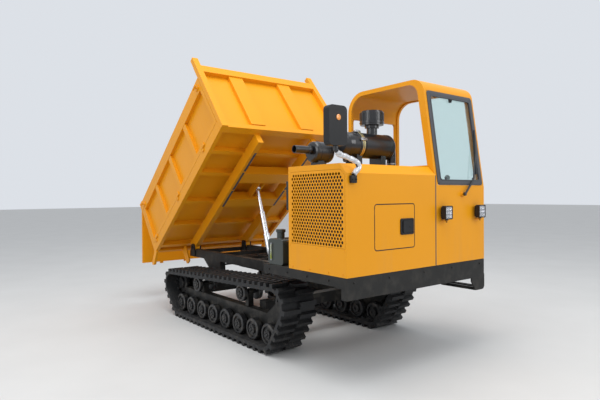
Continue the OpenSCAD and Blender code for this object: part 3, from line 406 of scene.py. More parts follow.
def finish_track_rubber(f):
    """Moulded rubber: a fine grain, scuffed tops and grey dust."""
    tone = tuple(colours().rubber)
    base = f.mix(f.noise(7.0, 5.0), tone, darker(tone, 0.6))
    scuff = f.noise(26.0, 6.0, stretch=(1, 2.6, 1)).above(0.52, 0.75)
    low = 1 - f.axis("Z").above(0.0, 0.30)
    dusty = (scuff * (low * 0.35 + 0.10)
             + f.facing_up().above(0.5, 1.0) * f.noise(11.0).above(0.4, 0.8) * 0.16)
    base = f.mix(dusty, base, darker(colours().dust, 0.8))
    grain = f.noise(420.0, 2.0) * 0.5 + f.noise(60.0, 4.0) * 0.8
    return f.shader(colour=base, rough=f.noise(18.0) * 0.18 + 0.54 + dusty * 0.3,
                    normal=f.bump(grain, 0.28, 0.0025))


def finish_chrome(f):
    """Hard chrome with faint grinding rings and an oily film."""
    rings = f.noise(60.0, 2.0, stretch=(0.3, 0.3, 9.0))
    film = f.noise(14.0, 3.0).above(0.4, 0.8)
    return f.shader(colour=f.mix(film * 0.4, (0.86, 0.87, 0.89), (0.60, 0.60, 0.62)), metal=1.0,
                    rough=rings * 0.10 + 0.08 + film * 0.10, normal=f.bump(rings, 0.05, 0.0006))


def finish_zinc(f):
    """Yellow-passivated zinc of bolts and band clamps."""
    hue = f.noise(30.0, 4.0)
    return f.shader(colour=f.mix(hue, (0.72, 0.55, 0.20), (0.62, 0.60, 0.42)), metal=1.0,
                    rough=f.noise(60.0) * 0.2 + 0.24, normal=f.bump(f.noise(300.0), 0.08, 0.0008))


def finish_bare_steel(f):
    """Zinc-plated steel of bolts, pins and fittings."""
    worn = f.noise(45.0, 4.0)
    return f.shader(colour=f.mix(worn, (0.52, 0.53, 0.55), (0.30, 0.30, 0.31)), metal=1.0,
                    rough=worn * 0.3 + 0.24, normal=f.bump(f.noise(260.0), 0.08, 0.0008))


def finish_black_paint(f):
    """Semi-gloss black enamel of the intake and exhaust parts."""
    dusty = f.facing_up().above(0.4, 1.0) * f.noise(12.0, 5.0).above(0.42, 0.8) * 0.10
    base = f.mix(dusty * 0.5, (0.008, 0.0085, 0.0105), colours().dust)
    return f.shader(colour=base, rough=f.noise(9.0, 4.0) * 0.12 + 0.24 + dusty,
                    coat=0.35, coat_rough=0.12, normal=f.bump(f.noise(180.0, 2.0), 0.07, 0.0015))


def finish_plastic(f):
    """Grained black plastic."""
    base = f.mix(f.noise(6.0, 3.0), (0.007, 0.007, 0.008), (0.013, 0.013, 0.014))
    return f.shader(colour=base, rough=f.noise(40.0) * 0.14 + 0.42, specular=0.35,
                    normal=f.bump(f.cells(620.0) + f.noise(90.0) * 0.4, 0.18, 0.0008))


def finish_seal_rubber(f):
    """Dark grey weatherstrip."""
    base = f.mix(f.noise(9.0, 4.0), (0.036, 0.039, 0.046), (0.056, 0.059, 0.068))
    return f.shader(colour=base, rough=f.noise(50.0) * 0.15 + 0.48, sheen=0.1,
                    normal=f.bump(f.noise(350.0, 2.0), 0.12, 0.0008))


def finish_hose(f):
    """Hydraulic hose with a faint cloth-impression weave."""
    weave = f.wave(150.0, "DIAGONAL") * 0.5 + f.wave(150.0, "X") * 0.5
    return f.shader(colour=f.mix(f.noise(20.0), (0.014, 0.014, 0.015), (0.035, 0.034, 0.033)),
                    rough=f.noise(30.0) * 0.15 + 0.50, normal=f.bump(weave, 0.15, 0.0008))


def finish_glass(f):
    """Green-tinted safety glass with a trace of dust in its corners."""
    dusty = f.noise(5.0, 6.0).above(0.5, 0.9)
    tint = tuple(colours().glass)
    return f.shader(colour=f.mix(dusty * 0.12, tint, (0.75, 0.76, 0.74)), clear=0.94, ior=1.45,
                    rough=dusty * 0.05 + 0.015)


def finish_lens(f):
    """Clear ribbed lamp cover."""
    ribs = f.wave(85.0, "Y") + f.wave(85.0, "Z")
    return f.shader(colour=(0.93, 0.94, 0.97), clear=0.85, ior=1.48,
                    rough=f.noise(30.0) * 0.08 + 0.05, normal=f.bump(ribs, 0.22, 0.001))


def finish_reflector(f):
    """Bright metallised lamp reflector, with a faint bluish painted glow standing in for the light it reflects."""
    return f.shader(colour=f.mix(f.noise(40.0), (0.93, 0.93, 0.95), (0.80, 0.81, 0.86)), metal=1.0,
                    # Painted glow: a faint bluish emission on the reflector, which gives no light of its own
                    rough=f.noise(80.0) * 0.1 + 0.10, glow=(0.85, 0.88, 1.0), glow_strength=0.06)


def finish_mirror(f):
    """Silvered mirror glass."""
    return f.shader(colour=f.mix(f.noise(4.0), (0.88, 0.89, 0.90), (0.80, 0.82, 0.83)), metal=1.0,
                    rough=f.noise(16.0, 4.0).above(0.5, 0.9) * 0.08 + 0.02)


def finish_reflex_orange(f):
    """Orange reflex disc with its prism pattern."""
    prisms = f.cells(420.0)
    return f.shader(colour=f.mix(prisms, (0.75, 0.20, 0.02), (0.95, 0.42, 0.08)),
                    rough=prisms * 0.2 + 0.14, coat=0.6, coat_rough=0.05,
                    normal=f.bump(prisms, 0.4, 0.0008))


def finish_film(f):
    """Crinkled silver packing film."""
    folds = f.noise(38.0, 6.0, stretch=(1, 1, 0.6), rough=0.7)
    return f.shader(colour=f.mix(folds, (0.86, 0.87, 0.88), (0.48, 0.48, 0.50)), metal=0.55,
                    rough=folds * 0.3 + 0.16, normal=f.bump(folds, 0.9, 0.006))


def finish_red_paint(f):
    """Crimson enamel."""
    return f.shader(colour=f.mix(f.noise(9.0, 4.0), (0.36, 0.012, 0.024), (0.22, 0.010, 0.018)),
                    rough=f.noise(30.0) * 0.2 + 0.28, coat=0.3, coat_rough=0.2,
                    normal=f.bump(f.noise(150.0), 0.12, 0.001))


def finish_tank_paint(f):
    """Dark green-grey tank enamel."""
    dusty = f.facing_up().above(0.5, 1.0) * f.noise(8.0, 4.0).above(0.4, 0.8) * 0.2
    base = f.mix(dusty, f.mix(f.noise(3.0), (0.020, 0.028, 0.024), (0.032, 0.040, 0.034)),
                 colours().dust)
    return f.shader(colour=base, rough=f.noise(10.0) * 0.16 + 0.26, coat=0.3, coat_rough=0.14,
                    normal=f.bump(f.noise(160.0, 2.0), 0.07, 0.0015))


def finish_fuel_sight(f):
    """Yellow-green sight tube."""
    return f.shader(colour=f.mix(f.axis("Z").above(0.90, 0.94), (0.45, 0.52, 0.06), (0.62, 0.66, 0.50)),
                    rough=f.noise(60.0) * 0.1 + 0.15, clear=0.3)


def finish_engine_iron(f):
    """Painted castings with a rough sand-cast skin and an oily film."""
    base = f.mix(f.noise(8.0, 5.0), (0.010, 0.011, 0.012), (0.034, 0.036, 0.036))
    return f.shader(colour=base, rough=f.noise(16.0) * 0.25 + 0.38, metal=0.25,
                    normal=f.bump(f.noise(120.0, 4.0), 0.30, 0.003))


def finish_core(f):
    """Radiator core: rows of fins between flat tubes."""
    tubes = f.wave(33.0, "Z").above(0.55, 0.8)
    fins = f.wave(160.0, "X")
    return f.shader(colour=f.mix(tubes, (0.020, 0.020, 0.020), (0.060, 0.058, 0.055)), metal=0.3,
                    rough=fins * 0.2 + 0.45, normal=f.bump(fins * 0.6 + tubes, 0.6, 0.004))


def finish_fabric(f):
    """Woven seat cover in two crossing thread directions."""
    tone = tuple(colours().seat)
    step = 1.0 / sizes().weave
    warp = f.wave(step * 0.32, "X")
    weft = f.wave(step * 0.32, "Y")
    rise = f.wave(step * 0.32, "Z")
    threads = warp * 0.4 + weft * 0.4 + rise * 0.4
    base = f.mix(threads, darker(tone, 0.55), tuple(min(1, c * 1.9) for c in tone))
    base = f.mix(f.noise(5.0, 4.0).above(0.5, 0.8) * 0.2, base, (0.09, 0.085, 0.08))
    return f.shader(colour=base, rough=threads * 0.12 + 0.78, sheen=0.35,
                    normal=f.bump(threads + f.noise(300.0) * 0.5, 0.5, 0.0012))


def finish_piping(f):
    """Vinyl piping of the seat."""
    return f.shader(colour=f.mix(f.noise(30.0), (0.035, 0.035, 0.036), (0.06, 0.06, 0.061)),
                    rough=f.noise(60.0) * 0.15 + 0.34, normal=f.bump(f.cells(500.0), 0.15, 0.0006))


def finish_dial(f):
    """Dark instrument face with a lighter scale ring."""
    return f.shader(colour=f.mix(f.cells(120.0).above(0.2, 0.5), (0.30, 0.31, 0.32),
                                 (0.02, 0.02, 0.022)),
                    rough=f.noise(50.0) * 0.1 + 0.2, coat=0.8, coat_rough=0.03)


def finish_chip(f):
    """Yellow phosphor of an LED."""
    return f.shader(colour=f.mix(f.noise(200.0), (0.75, 0.62, 0.12), (0.85, 0.78, 0.35)), rough=0.3,
                    glow=(1.0, 0.93, 0.75), glow_strength=0.6)


# ---- Modelling helpers ----
def fresh():
    """Leaves nothing selected, in object mode."""
    bpy.ops.object.select_all(action="DESELECT")


def pick(piece):
    fresh()
    piece.select_set(True)
    bpy.context.view_layer.objects.active = piece


def settle(piece):
    """Bakes the object's place into its mesh."""
    pick(piece)
    bpy.ops.object.transform_apply(location=True, rotation=True, scale=True)
    return piece


def put(piece, place):
    """Moves a finished mesh by a matrix."""
    piece.data.transform(place)
    piece.data.update()
    return piece


def modify(piece, kind, **settings):
    """Adds a modifier and applies it."""
    pick(piece)
    modifier = piece.modifiers.new(kind.title(), kind)
    for key, value in settings.items():
        setattr(modifier, key, value)
    bpy.ops.object.modifier_apply(modifier=modifier.name)
    return piece


def smooth(piece, angle=35):
    pick(piece)
    bpy.ops.object.shade_smooth_by_angle(angle=math.radians(angle))
    return piece


def bevel(piece, width, segments=2, angle=35):
    modify(piece, "BEVEL", width=width, segments=segments, limit_method="ANGLE",
           angle_limit=math.radians(angle), use_clamp_overlap=True)
    return smooth(piece, angle)


def named(name):
    piece = bpy.context.object
    piece.name = name
    piece.data.name = name
    return piece


def block(name, low, high, edge=0.002, segments=2):
    """A bevelled block between two corners."""
    low, high = Vector(low), Vector(high)
    fresh()
    bpy.ops.mesh.primitive_cube_add(size=1, location=(low + high) / 2)
    piece = named(name)
    piece.scale = high - low
    settle(piece)
    return bevel(piece, edge, segments)


def rod(name, start, end, radius, sides=32, edge=0.001, radius_end=None):
    """A round or sided bar between two points."""
    start, end = Vector(start), Vector(end)
    along = end - start
    fresh()
    bpy.ops.mesh.primitive_cone_add(vertices=sides, radius1=radius, depth=along.length,
                                    radius2=radius if radius_end is None else radius_end)
    piece = named(name)
    put(piece,
        Matrix.Translation((start + end) / 2) @ along.to_track_quat("Z", "Y").to_matrix().to_4x4())
    return bevel(piece, edge, 2, 40)


def lathe(name, profile, centre, axis, steps=48):
    """A turned piece: its profile is (radius, height) points, spun about the axis through the centre."""
    fresh()
    bpy.ops.mesh.primitive_plane_add(size=0.01)
    piece = named(name)
    bpy.ops.object.mode_set(mode="EDIT")
    bpy.ops.mesh.select_mode(type="VERT")
    bpy.ops.mesh.select_all(action="SELECT")
    bpy.ops.mesh.merge(type="CENTER")
    bpy.ops.transform.translate(value=(profile[0][0], 0, profile[0][1]))
    for before, after in zip(profile, profile[1:]):
        step = (after[0] - before[0], 0, after[1] - before[1])
        bpy.ops.mesh.extrude_region_move(TRANSFORM_OT_translate={"value": step})
    bpy.ops.mesh.select_all(action="SELECT")
    bpy.ops.mesh.spin(steps=steps, angle=math.tau, center=(0, 0, 0), axis=(0, 0, 1))
    bpy.ops.mesh.select_all(action="SELECT")
    bpy.ops.mesh.remove_doubles(threshold=1e-5)
    bpy.ops.mesh.normals_make_consistent(inside=False)
    bpy.ops.object.mode_set(mode="OBJECT")
    turn = Vector(axis).to_track_quat("Z", "Y").to_matrix().to_4x4()
    put(piece, Matrix.Translation(Vector(centre)) @ turn)
    return smooth(piece, 32)


def hoop(name, inner, outer, half, half_outer, centre, steps, axis=(0, 1, 0)):
    """A band round an axis, a little narrower on its outside."""
    return lathe(name, [(inner, -half), (outer, -half_outer), (outer, half_outer), (inner, half)],
                 centre, axis, steps)


def tube(name, points, radius, closed=False, fine=10):
    """A round tube along a smooth curve through the points."""
    fresh()
    bpy.ops.curve.primitive_bezier_curve_add()
    piece = named(name)
    piece.matrix_world = Matrix.Identity(4)
    line = piece.data.splines[0]
    line.bezier_points.add(len(points) - 2)
    for knot, point in zip(line.bezier_points, points):
        knot.co = point
        knot.handle_left_type = knot.handle_right_type = "AUTO"
    line.use_cyclic_u = closed
    piece.data.resolution_u = fine
    piece.data.bevel_depth = radius
    piece.data.bevel_resolution = 4
    piece.data.use_fill_caps = not closed
    pick(piece)
    bpy.ops.object.convert(target="MESH")
    return smooth(bpy.context.object, 50)


def flat(name, outline):
    """One face with that outline, open in edit mode with all of it selected."""
    fresh()
    bpy.ops.mesh.primitive_circle_add(vertices=len(outline), radius=1, fill_type="NGON")
    piece = named(name)
    for vertex, (x, y) in zip(piece.data.vertices, outline):
        vertex.co = (x, y, 0)
    bpy.ops.object.mode_set(mode="EDIT")
    bpy.ops.mesh.select_all(action="SELECT")
    return piece


def thicken(piece, thickness, place, edge):
    """Pulls an open flat face to its thickness, closes it and puts it in place."""
    bpy.ops.mesh.extrude_region_move(TRANSFORM_OT_translate={"value": (0, 0, thickness)})
    bpy.ops.mesh.select_all(action="SELECT")
    bpy.ops.mesh.normals_make_consistent(inside=False)
    bpy.ops.object.mode_set(mode="OBJECT")
    put(piece, place)
    return bevel(piece, edge, 2)


def plate(name, outline, thickness, place, edge=0.001):
    """A flat plate with that outline in X and Y, as thick as said, put by a matrix."""
    return thicken(flat(name, outline), thickness, place, edge)


def round_outline(half_x, half_y, radius, steps=6):
    """Corner points of a rectangle with rounded corners, about the origin."""
    points = []
    for quarter, (sx, sy) in enumerate(((1, 1), (-1, 1), (-1, -1), (1, -1))):
        for k in range(steps + 1):
            a = math.pi / 2 * (quarter + k / steps)
            points.append((sx * (half_x - radius) + radius * math.cos(a),
                           sy * (half_y - radius) + radius * math.sin(a)))
    return points


def joined(name, pieces):
    """Several pieces made one mesh."""
    pick(pieces[0])
    for piece in pieces[1:]:
        piece.select_set(True)
    bpy.ops.object.join()
    return named(name)


def wear(piece, body, look, slot=None):
    """Gives a piece its finish and lets it ride on a body."""
    piece.data.materials.clear()
    piece.data.materials.append(finish(look))
    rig.ride(piece, body)
    if slot:
        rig.slot(piece, slot)
    return piece


def dress(name, pieces, look, slot, body="machine"):
    """Joins pieces into one with that name, finish and slot."""
    return wear(joined(name, pieces), body, look, slot)


def repaint(node, look):
    """Gives a CAD node a finish."""
    materials = frame["nodes"][node].data.materials
    materials.clear()
    materials.append(finish(look))


def skin(node, look, slot, width=None, segments=2):
    """A copy of a CAD node with its edges rounded, which stands for the node."""
    source = frame["nodes"][node]
    body = source["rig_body"]
    piece = source.copy()
    piece.data = source.data.copy()
    piece.parent = None
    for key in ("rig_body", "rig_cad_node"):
        del piece[key]
    piece.name = node + "_skin"
    bpy.context.scene.collection.objects.link(piece)
    pick(piece)
    bpy.ops.mesh.customdata_custom_splitnormals_clear()
    bpy.ops.object.mode_set(mode="EDIT")
    bpy.ops.mesh.select_all(action="SELECT")
    bpy.ops.mesh.remove_doubles(threshold=2e-5)
    bpy.ops.mesh.dissolve_limited(angle_limit=math.radians(0.5))
    bpy.ops.object.mode_set(mode="OBJECT")
    bevel(piece, width or sizes().edge, segments, 30)
    modify(piece, "WEIGHTED_NORMAL", weight=100, keep_sharp=True)
    wear(piece, body, look, slot)
    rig.replaces(piece, node)
    return piece


def in_bed(piece):
    """Places a piece made in the bed's own axes."""
    return put(piece, BED_PLACE)


def bolts(name, places, axis, radius, height=0.006):
    """Hexagon heads with washers at several places, one mesh."""
    made = []
    for place in places:
        place, along = Vector(place), Vector(axis).normalized()
        made.append(rod("washer", place, place + along * 0.002, radius * 1.45, 20, 0.0004))
        made.append(rod("head", place + along * 0.0018, place + along * height, radius, 6, 0.0007))
    return joined(name, made)


def ring(name, outline, width, thickness, place, edge=0.002):
    """A flat frame: the outline less the same outline set in by the width."""
    piece = flat(name, outline)
    bpy.ops.mesh.select_mode(type="FACE")
    bpy.ops.mesh.select_all(action="SELECT")
    bpy.ops.mesh.inset(thickness=width)
    bpy.ops.mesh.delete(type="FACE")
    bpy.ops.mesh.select_all(action="SELECT")
    return thicken(piece, thickness, place, edge)


def sink(piece, along, width, depth):
    """Sets in the outermost flat face that looks along a direction, and sinks it."""
    along = Vector(along)
    faces = [face for face in piece.data.polygons if face.normal.dot(along) > 0.999]
    outer = max(along.dot(face.center) for face in faces)

    def choose():
        for face in piece.data.polygons:
            face.select = face.normal.dot(along) > 0.999 and along.dot(face.center) > outer - 1e-4

    choose()
    pick(piece)
    bpy.ops.object.mode_set(mode="EDIT")
    bpy.ops.mesh.select_mode(type="FACE")
    bpy.ops.object.mode_set(mode="OBJECT")
    choose()
    bpy.ops.object.mode_set(mode="EDIT")
    bpy.ops.mesh.inset(thickness=width)
    bpy.ops.mesh.extrude_region_move(TRANSFORM_OT_translate={"value": tuple(-along * depth)})
    bpy.ops.object.mode_set(mode="OBJECT")
    return piece


def axes(across, up, origin):
    """A place whose X and Y run along two given directions."""
    across, up = Vector(across).normalized(), Vector(up).normalized()
    turn = Matrix((across, up, across.cross(up))).transposed()
    return Matrix.Translation(Vector(origin)) @ turn.to_4x4()


# ---- Operators ----
class Step(bpy.types.Operator):
    """Common base of the dumper's operators."""

    bl_idname = "dumper.step"
    bl_label = "Dumper step"
    bl_options = {"REGISTER", "UNDO"}

    def build(self):
        raise NotImplementedError

    def execute(self, context):
        self.build()
        return {"FINISHED"}


class DUMPER_OT_stage(Step):
    """Makes the floor, the studio lights and the camera."""

    bl_idname = "dumper.stage"
    bl_label = "Stage"

    def build(self):
        fresh()
        bpy.ops.mesh.primitive_plane_add(size=120)
        floor = named("floor")
        f = Finish("floor")
        grit = f.noise(1.2, 6.0)
        floor.data.materials.append(f.shader(
            colour=f.mix(grit, (0.62, 0.615, 0.60), (0.55, 0.545, 0.53)), rough=0.85,
            normal=f.bump(f.noise(60.0, 4.0), 0.05, 0.004)))
        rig.stage(floor)

        world = bpy.data.worlds.new("studio")
        bpy.context.scene.world = world
        world.use_nodes = True
        world.node_tree.nodes["Background"].inputs[0].default_value = (0.90, 0.94, 1.0, 1)
        world.node_tree.nodes["Background"].inputs[1].default_value = 0.80
        bpy.context.scene.view_settings.view_transform = "Standard"
        for name, place, aim, size, power in (
                ("overhead", (1.5, -1.5, 8.0), (0, 0, 0.8), 6.0, 420),
                ("front_left", (7.5, 2.0, 4.2), (0.8, 0, 1.2), 3.0, 130),
                ("right_side", (1.5, -8.5, 4.2), (0, 0, 1.2), 3.5, 110)):
            fresh()
            bpy.ops.object.light_add(type="AREA", location=place)
            lamp = bpy.context.object
            lamp.name = name
            lamp.data.shape = "SQUARE"
            lamp.data.size = size
            lamp.data.energy = power
            lamp.rotation_mode = "QUATERNION"
            lamp.rotation_quaternion = (Vector(aim) - Vector(place)).to_track_quat("-Z", "Y")

        fresh()
        bpy.ops.object.camera_add()
        camera = bpy.context.object
        camera.name = "camera"
        yaw, pitch, roll = math.radians(142.01), math.radians(-0.58), math.radians(-0.40)
        ahead = Vector((math.cos(pitch) * math.cos(yaw), math.cos(pitch) * math.sin(yaw),
                        math.sin(pitch)))
        right = Vector((math.sin(yaw), -math.cos(yaw), 0))
        up = right.cross(ahead)
        side = right * math.cos(roll) + up * math.sin(roll)
        top = up * math.cos(roll) - right * math.sin(roll)
        turn = Matrix((side, top, -ahead)).transposed()
        camera.matrix_world = Matrix.Translation((4.678, -3.339, 1.426)) @ turn.to_4x4()
        camera.data.lens = 30.05
        camera.data.sensor_width = 36
        camera.data.clip_start, camera.data.clip_end = 0.05, 300
        bpy.context.scene.camera = camera


class DUMPER_OT_steelwork(Step):
    """Rounds and paints the hood, cab, bed, chassis and platform."""

    bl_idname = "dumper.steelwork"
    bl_label = "Steelwork"

    def build(self):
        for node in ("engine_hood", "access_door", "cab_shell", "bed_floor", "headboard",
                     "drop_side_l", "drop_side_r", "tailgate"):
            skin(node, "body_paint", "body_paint")
        repaint("side_grille", "body_paint")
        for node in ("chassis_frame", "platform_frame", "entry_step", "track_frame_l", "track_frame_r"):
            skin(node, "frame_paint", "frame_paint")
        skin("fuel_tank", "tank_paint", "tank_paint", 0.006, 3)


class DUMPER_OT_running_gear(Step):
    """Dresses the belts, rollers, idlers and sprockets."""

    bl_idname = "dumper.running_gear"
    bl_label = "Running gear"

    def build(self):
        for side, sign in (("l", 1), ("r", -1)):
            skin("track_belt_" + side, "track_rubber", "track_rubber", 0.005, 2)
            repaint("sprocket_" + side, "wheel_paint")
            repaint("front_idler_" + side, "wheel_paint")
            wheels = [f"road_roller_{side}_{k}" for k in range(1, 9)]
            wheels += [f"carrier_roller_{side}_{k}" for k in (1, 2)]
            for node in wheels:
                repaint(node, "wheel_paint")
                low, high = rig.box(node)
                middle = (low + high) / 2
                face = high.y if sign > 0 else low.y
                self.hub(node, Vector((middle.x, face, middle.z)), sign)

    def hub(self, node, at, sign):
        """A cap and a ring of bolts on the outer hub of a roller."""
        out = Vector((0, sign, 0))
        cap = lathe("cap", [(0, 0.009), (0.011, 0.008), (0.014, 0.004), (0.0145, -0.008)],
                    at - out * 0.002, out, 24)
        heads = [at - out * 0.001 + Vector((0.032 * math.cos(a), 0, 0.032 * math.sin(a)))
                 for a in (k * math.tau / 6 for k in range(6))]
        ring = bolts("ring", heads, out, 0.0055, 0.006)
        dress(node + "_hub", [cap, ring], "wheel_paint", "wheel_paint", node)


class DUMPER_OT_plain_finishes(Step):
    """Paints the pieces whose shape needs nothing more."""

    bl_idname = "dumper.plain_finishes"
    bl_label = "Plain finishes"

    def build(self):
        looks = {
            "black_paint": ["cylinder_barrel", "air_cleaner", "pre_cleaner", "muffler", "wiper",
                            "mirror_arm"],
            "chrome": ["cylinder_stage_1", "cylinder_stage_2", "cylinder_stage_3"],
            "plastic": ["door_latch", "control_lever_l", "control_lever_r", "cooling_fan",
                        "mirror_head", "headlamp_l", "headlamp_r"],
            "engine_iron": ["engine_block"],
            "glass": ["windshield"],
        }
        for look, nodes in looks.items():
            for node in nodes:
                repaint(node, look)


class DUMPER_OT_glazing(Step):
    """Makes the windshield's seal, its top latch and its two lower clips."""

    bl_idname = "dumper.glazing"
    bl_label = "Glazing"

    def build(self):
        out = Vector(JOINTS["wiper_sweep"]["axis"])
        across = Vector((0, 1, 0))
        up = out.cross(across)
        low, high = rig.box("windshield")
        face = max(out.dot(v.co) for v in frame["nodes"]["windshield"].data.vertices)
        middle = (low + high) / 2
        middle += out * (face - out.dot(middle))
        half_x = (high.y - low.y) / 2 + 0.005
        half_y = (high.z - low.z) / 2 / up.z + 0.001
        width = sizes().seal
        lower = axes(across, up, middle - out * 0.001)
        band = ring("windshield_seal", round_outline(half_x, half_y, 0.030), width, 0.0145,
                    lower, 0.003)
        lip = ring("lip", round_outline(half_x - width + 0.006, half_y - width + 0.006, 0.030),
                   0.010, 0.0175,
                   lower, 0.0025)
        dress("windshield_seal", [band, lip], "seal_rubber", "black_plastic")
        latch = middle + up * (half_y - width - 0.012)
        pad = plate("latch_pad", round_outline(0.017, 0.022, 0.006), 0.012,
                    axes(across, up, latch), 0.002)
        knob = lathe("latch_knob",
                     [(0, 0.024), (0.009, 0.023), (0.012, 0.018), (0.012, 0.010), (0.014, 0.0)],
                     latch - up * 0.004, out, 28)
        dress("windshield_latch", [pad, knob], "plastic", "black_plastic")
        for k, y in enumerate((-0.20, 0.20)):
            at = middle + across * y - up * (half_y - width - 0.016)
            clip = lathe("clip", [(0, 0.006), (0.008, 0.005), (0.010, 0.0)], at, out, 24)
            wear(clip, "machine", "seal_rubber", "black_plastic").name = f"windshield_clip_{k}"


class DUMPER_OT_lamps(Step):
    """Makes the work lamps' housings, reflectors and lenses."""

    bl_idname = "dumper.lamps"
    bl_label = "Lamps"

    def build(self):
        for side in "lr":
            node = "headlamp_" + side
            housing = skin(node, "plastic", "lamp_housing", 0.003, 2)
            sink(housing, FRONT, 0.007, 0.013)
            low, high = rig.box(node)
            middle_y = (low.y + high.y) / 2
            middle_z = high.z - 0.0575
            face = high.x - 0.013
            spots = [(face + 0.0005, middle_y + column * 0.027, middle_z + row * 0.032)
                     for row in (-1, 0, 1) for column in (-1, 0, 1)]
            cups = [lathe("cup", [(0.003, 0.001), (0.006, 0.002), (0.0125, 0.0085), (0.0135, 0.0085),
                                  (0.0135, -0.001)], at, FRONT, 24) for at in spots]
            dress(node + "_reflectors", cups, "reflector", "lamp_housing", node)
            glow = [lathe("chip", [(0, 0.0035), (0.0028, 0.003), (0.0035, 0.0)], at, FRONT,
                          12) for at in spots]
            dress(node + "_chips", glow, "chip", "lamp_housing", node)
            cover = plate("lens", round_outline(0.0435, 0.051, 0.008), 0.003,
                          axes(*FACING_FRONT, (high.x - 0.004, middle_y, middle_z)), 0.0008)
            wear(cover, node, "lens", "lamp_housing").name = node + "_lens"
            screws = bolts("screws", [(high.x - 0.0025, middle_y + sy * 0.044, middle_z + sz * 0.0515)
                                      for sy in (-1, 1) for sz in (-1, 1)], FRONT, 0.0026, 0.0022)
            wear(screws, node, "bare_steel", "lamp_housing").name = node + "_screws"
            stem = lathe("nut", [(0, 0.010), (0.010, 0.010), (0.013, 0.006), (0.013, 0.0)],
                         (low.x + 0.0275, middle_y, middle_z - 0.0595), (0, 0, -1), 6)
            wear(stem, node, "bare_steel", "lamp_housing").name = node + "_nut"


class DUMPER_OT_mirror(Step):
    """Makes the mirror's shell, glass and reflex disc, and the wrapped arm."""

    bl_idname = "dumper.mirror"
    bl_label = "Mirror"

    def build(self):
        low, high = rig.box("mirror_head")
        middle = (low + high) / 2
        shell = skin("mirror_head", "plastic", "black_plastic", 0.026, 5)
        sink(shell, (-1, 0, 0), 0.006, 0.004)
        half_y, half_z = (high.y - low.y) / 2, (high.z - low.z) / 2
        glass = plate("mirror_glass", round_outline(half_y - 0.024, half_z - 0.024, 0.022), 0.0025,
                      axes((0, -1, 0), UP, (low.x + 0.0045, middle.y, middle.z)), 0.0008)
        wear(glass, "mirror_head", "mirror", "black_plastic")
        disc = lathe("mirror_disc", [(0, 0.0016), (0.019, 0.0014), (0.021, 0.0004), (0.021, -0.006)],
                     (high.x - 0.0003, middle.y + 0.004, low.z + 0.197), FRONT, 40)
        wear(disc, "mirror_head", "reflex_orange", "black_plastic")
        rim = lathe("mirror_disc_rim",
                    [(0.0210, 0.0006), (0.0230, 0.0012), (0.025, 0.0002), (0.025, -0.003)],
                    (high.x + 0.0003, middle.y + 0.004, low.z + 0.197), FRONT, 40)
        wear(rim, "mirror_head", "plastic", "black_plastic")

        path = [(-0.817, 1.572), (-0.790, 1.597), (-0.765, 1.622), (-0.770, 1.646), (-0.793, 1.664),
                (-0.838, 1.680), (-0.885, 1.694), (-0.925, 1.704), (-0.960, 1.714), (-0.982, 1.728)]
        fresh()
        wrap = tube("mirror_arm_film", [(MIRROR_X, y, z) for y, z in path], 0.0205, fine=14)
        modify(wrap, "REMESH", mode="VOXEL", voxel_size=0.0022)
        folds = bpy.data.textures.new("film_folds", "STUCCI")
        folds.noise_scale = 0.022
        folds.turbulence = 6
        modify(wrap, "DISPLACE", texture=folds, strength=0.0085, mid_level=0.55)
        smooth(wrap, 40)
        wear(wrap, "machine", "film", "black_paint")
        clamp = block("clamp", (FRONT_X + 0.001, -0.845, 1.509), (FRONT_X + 0.027, -0.789, 1.565),
                      0.005, 3)
        heads = bolts("heads", [(FRONT_X + 0.0265, -0.817 + s * 0.016, 1.537) for s in (-1, 1)], FRONT,
                      0.006, 0.007)
        dress("mirror_clamp", [clamp, heads], "plastic", "black_paint")


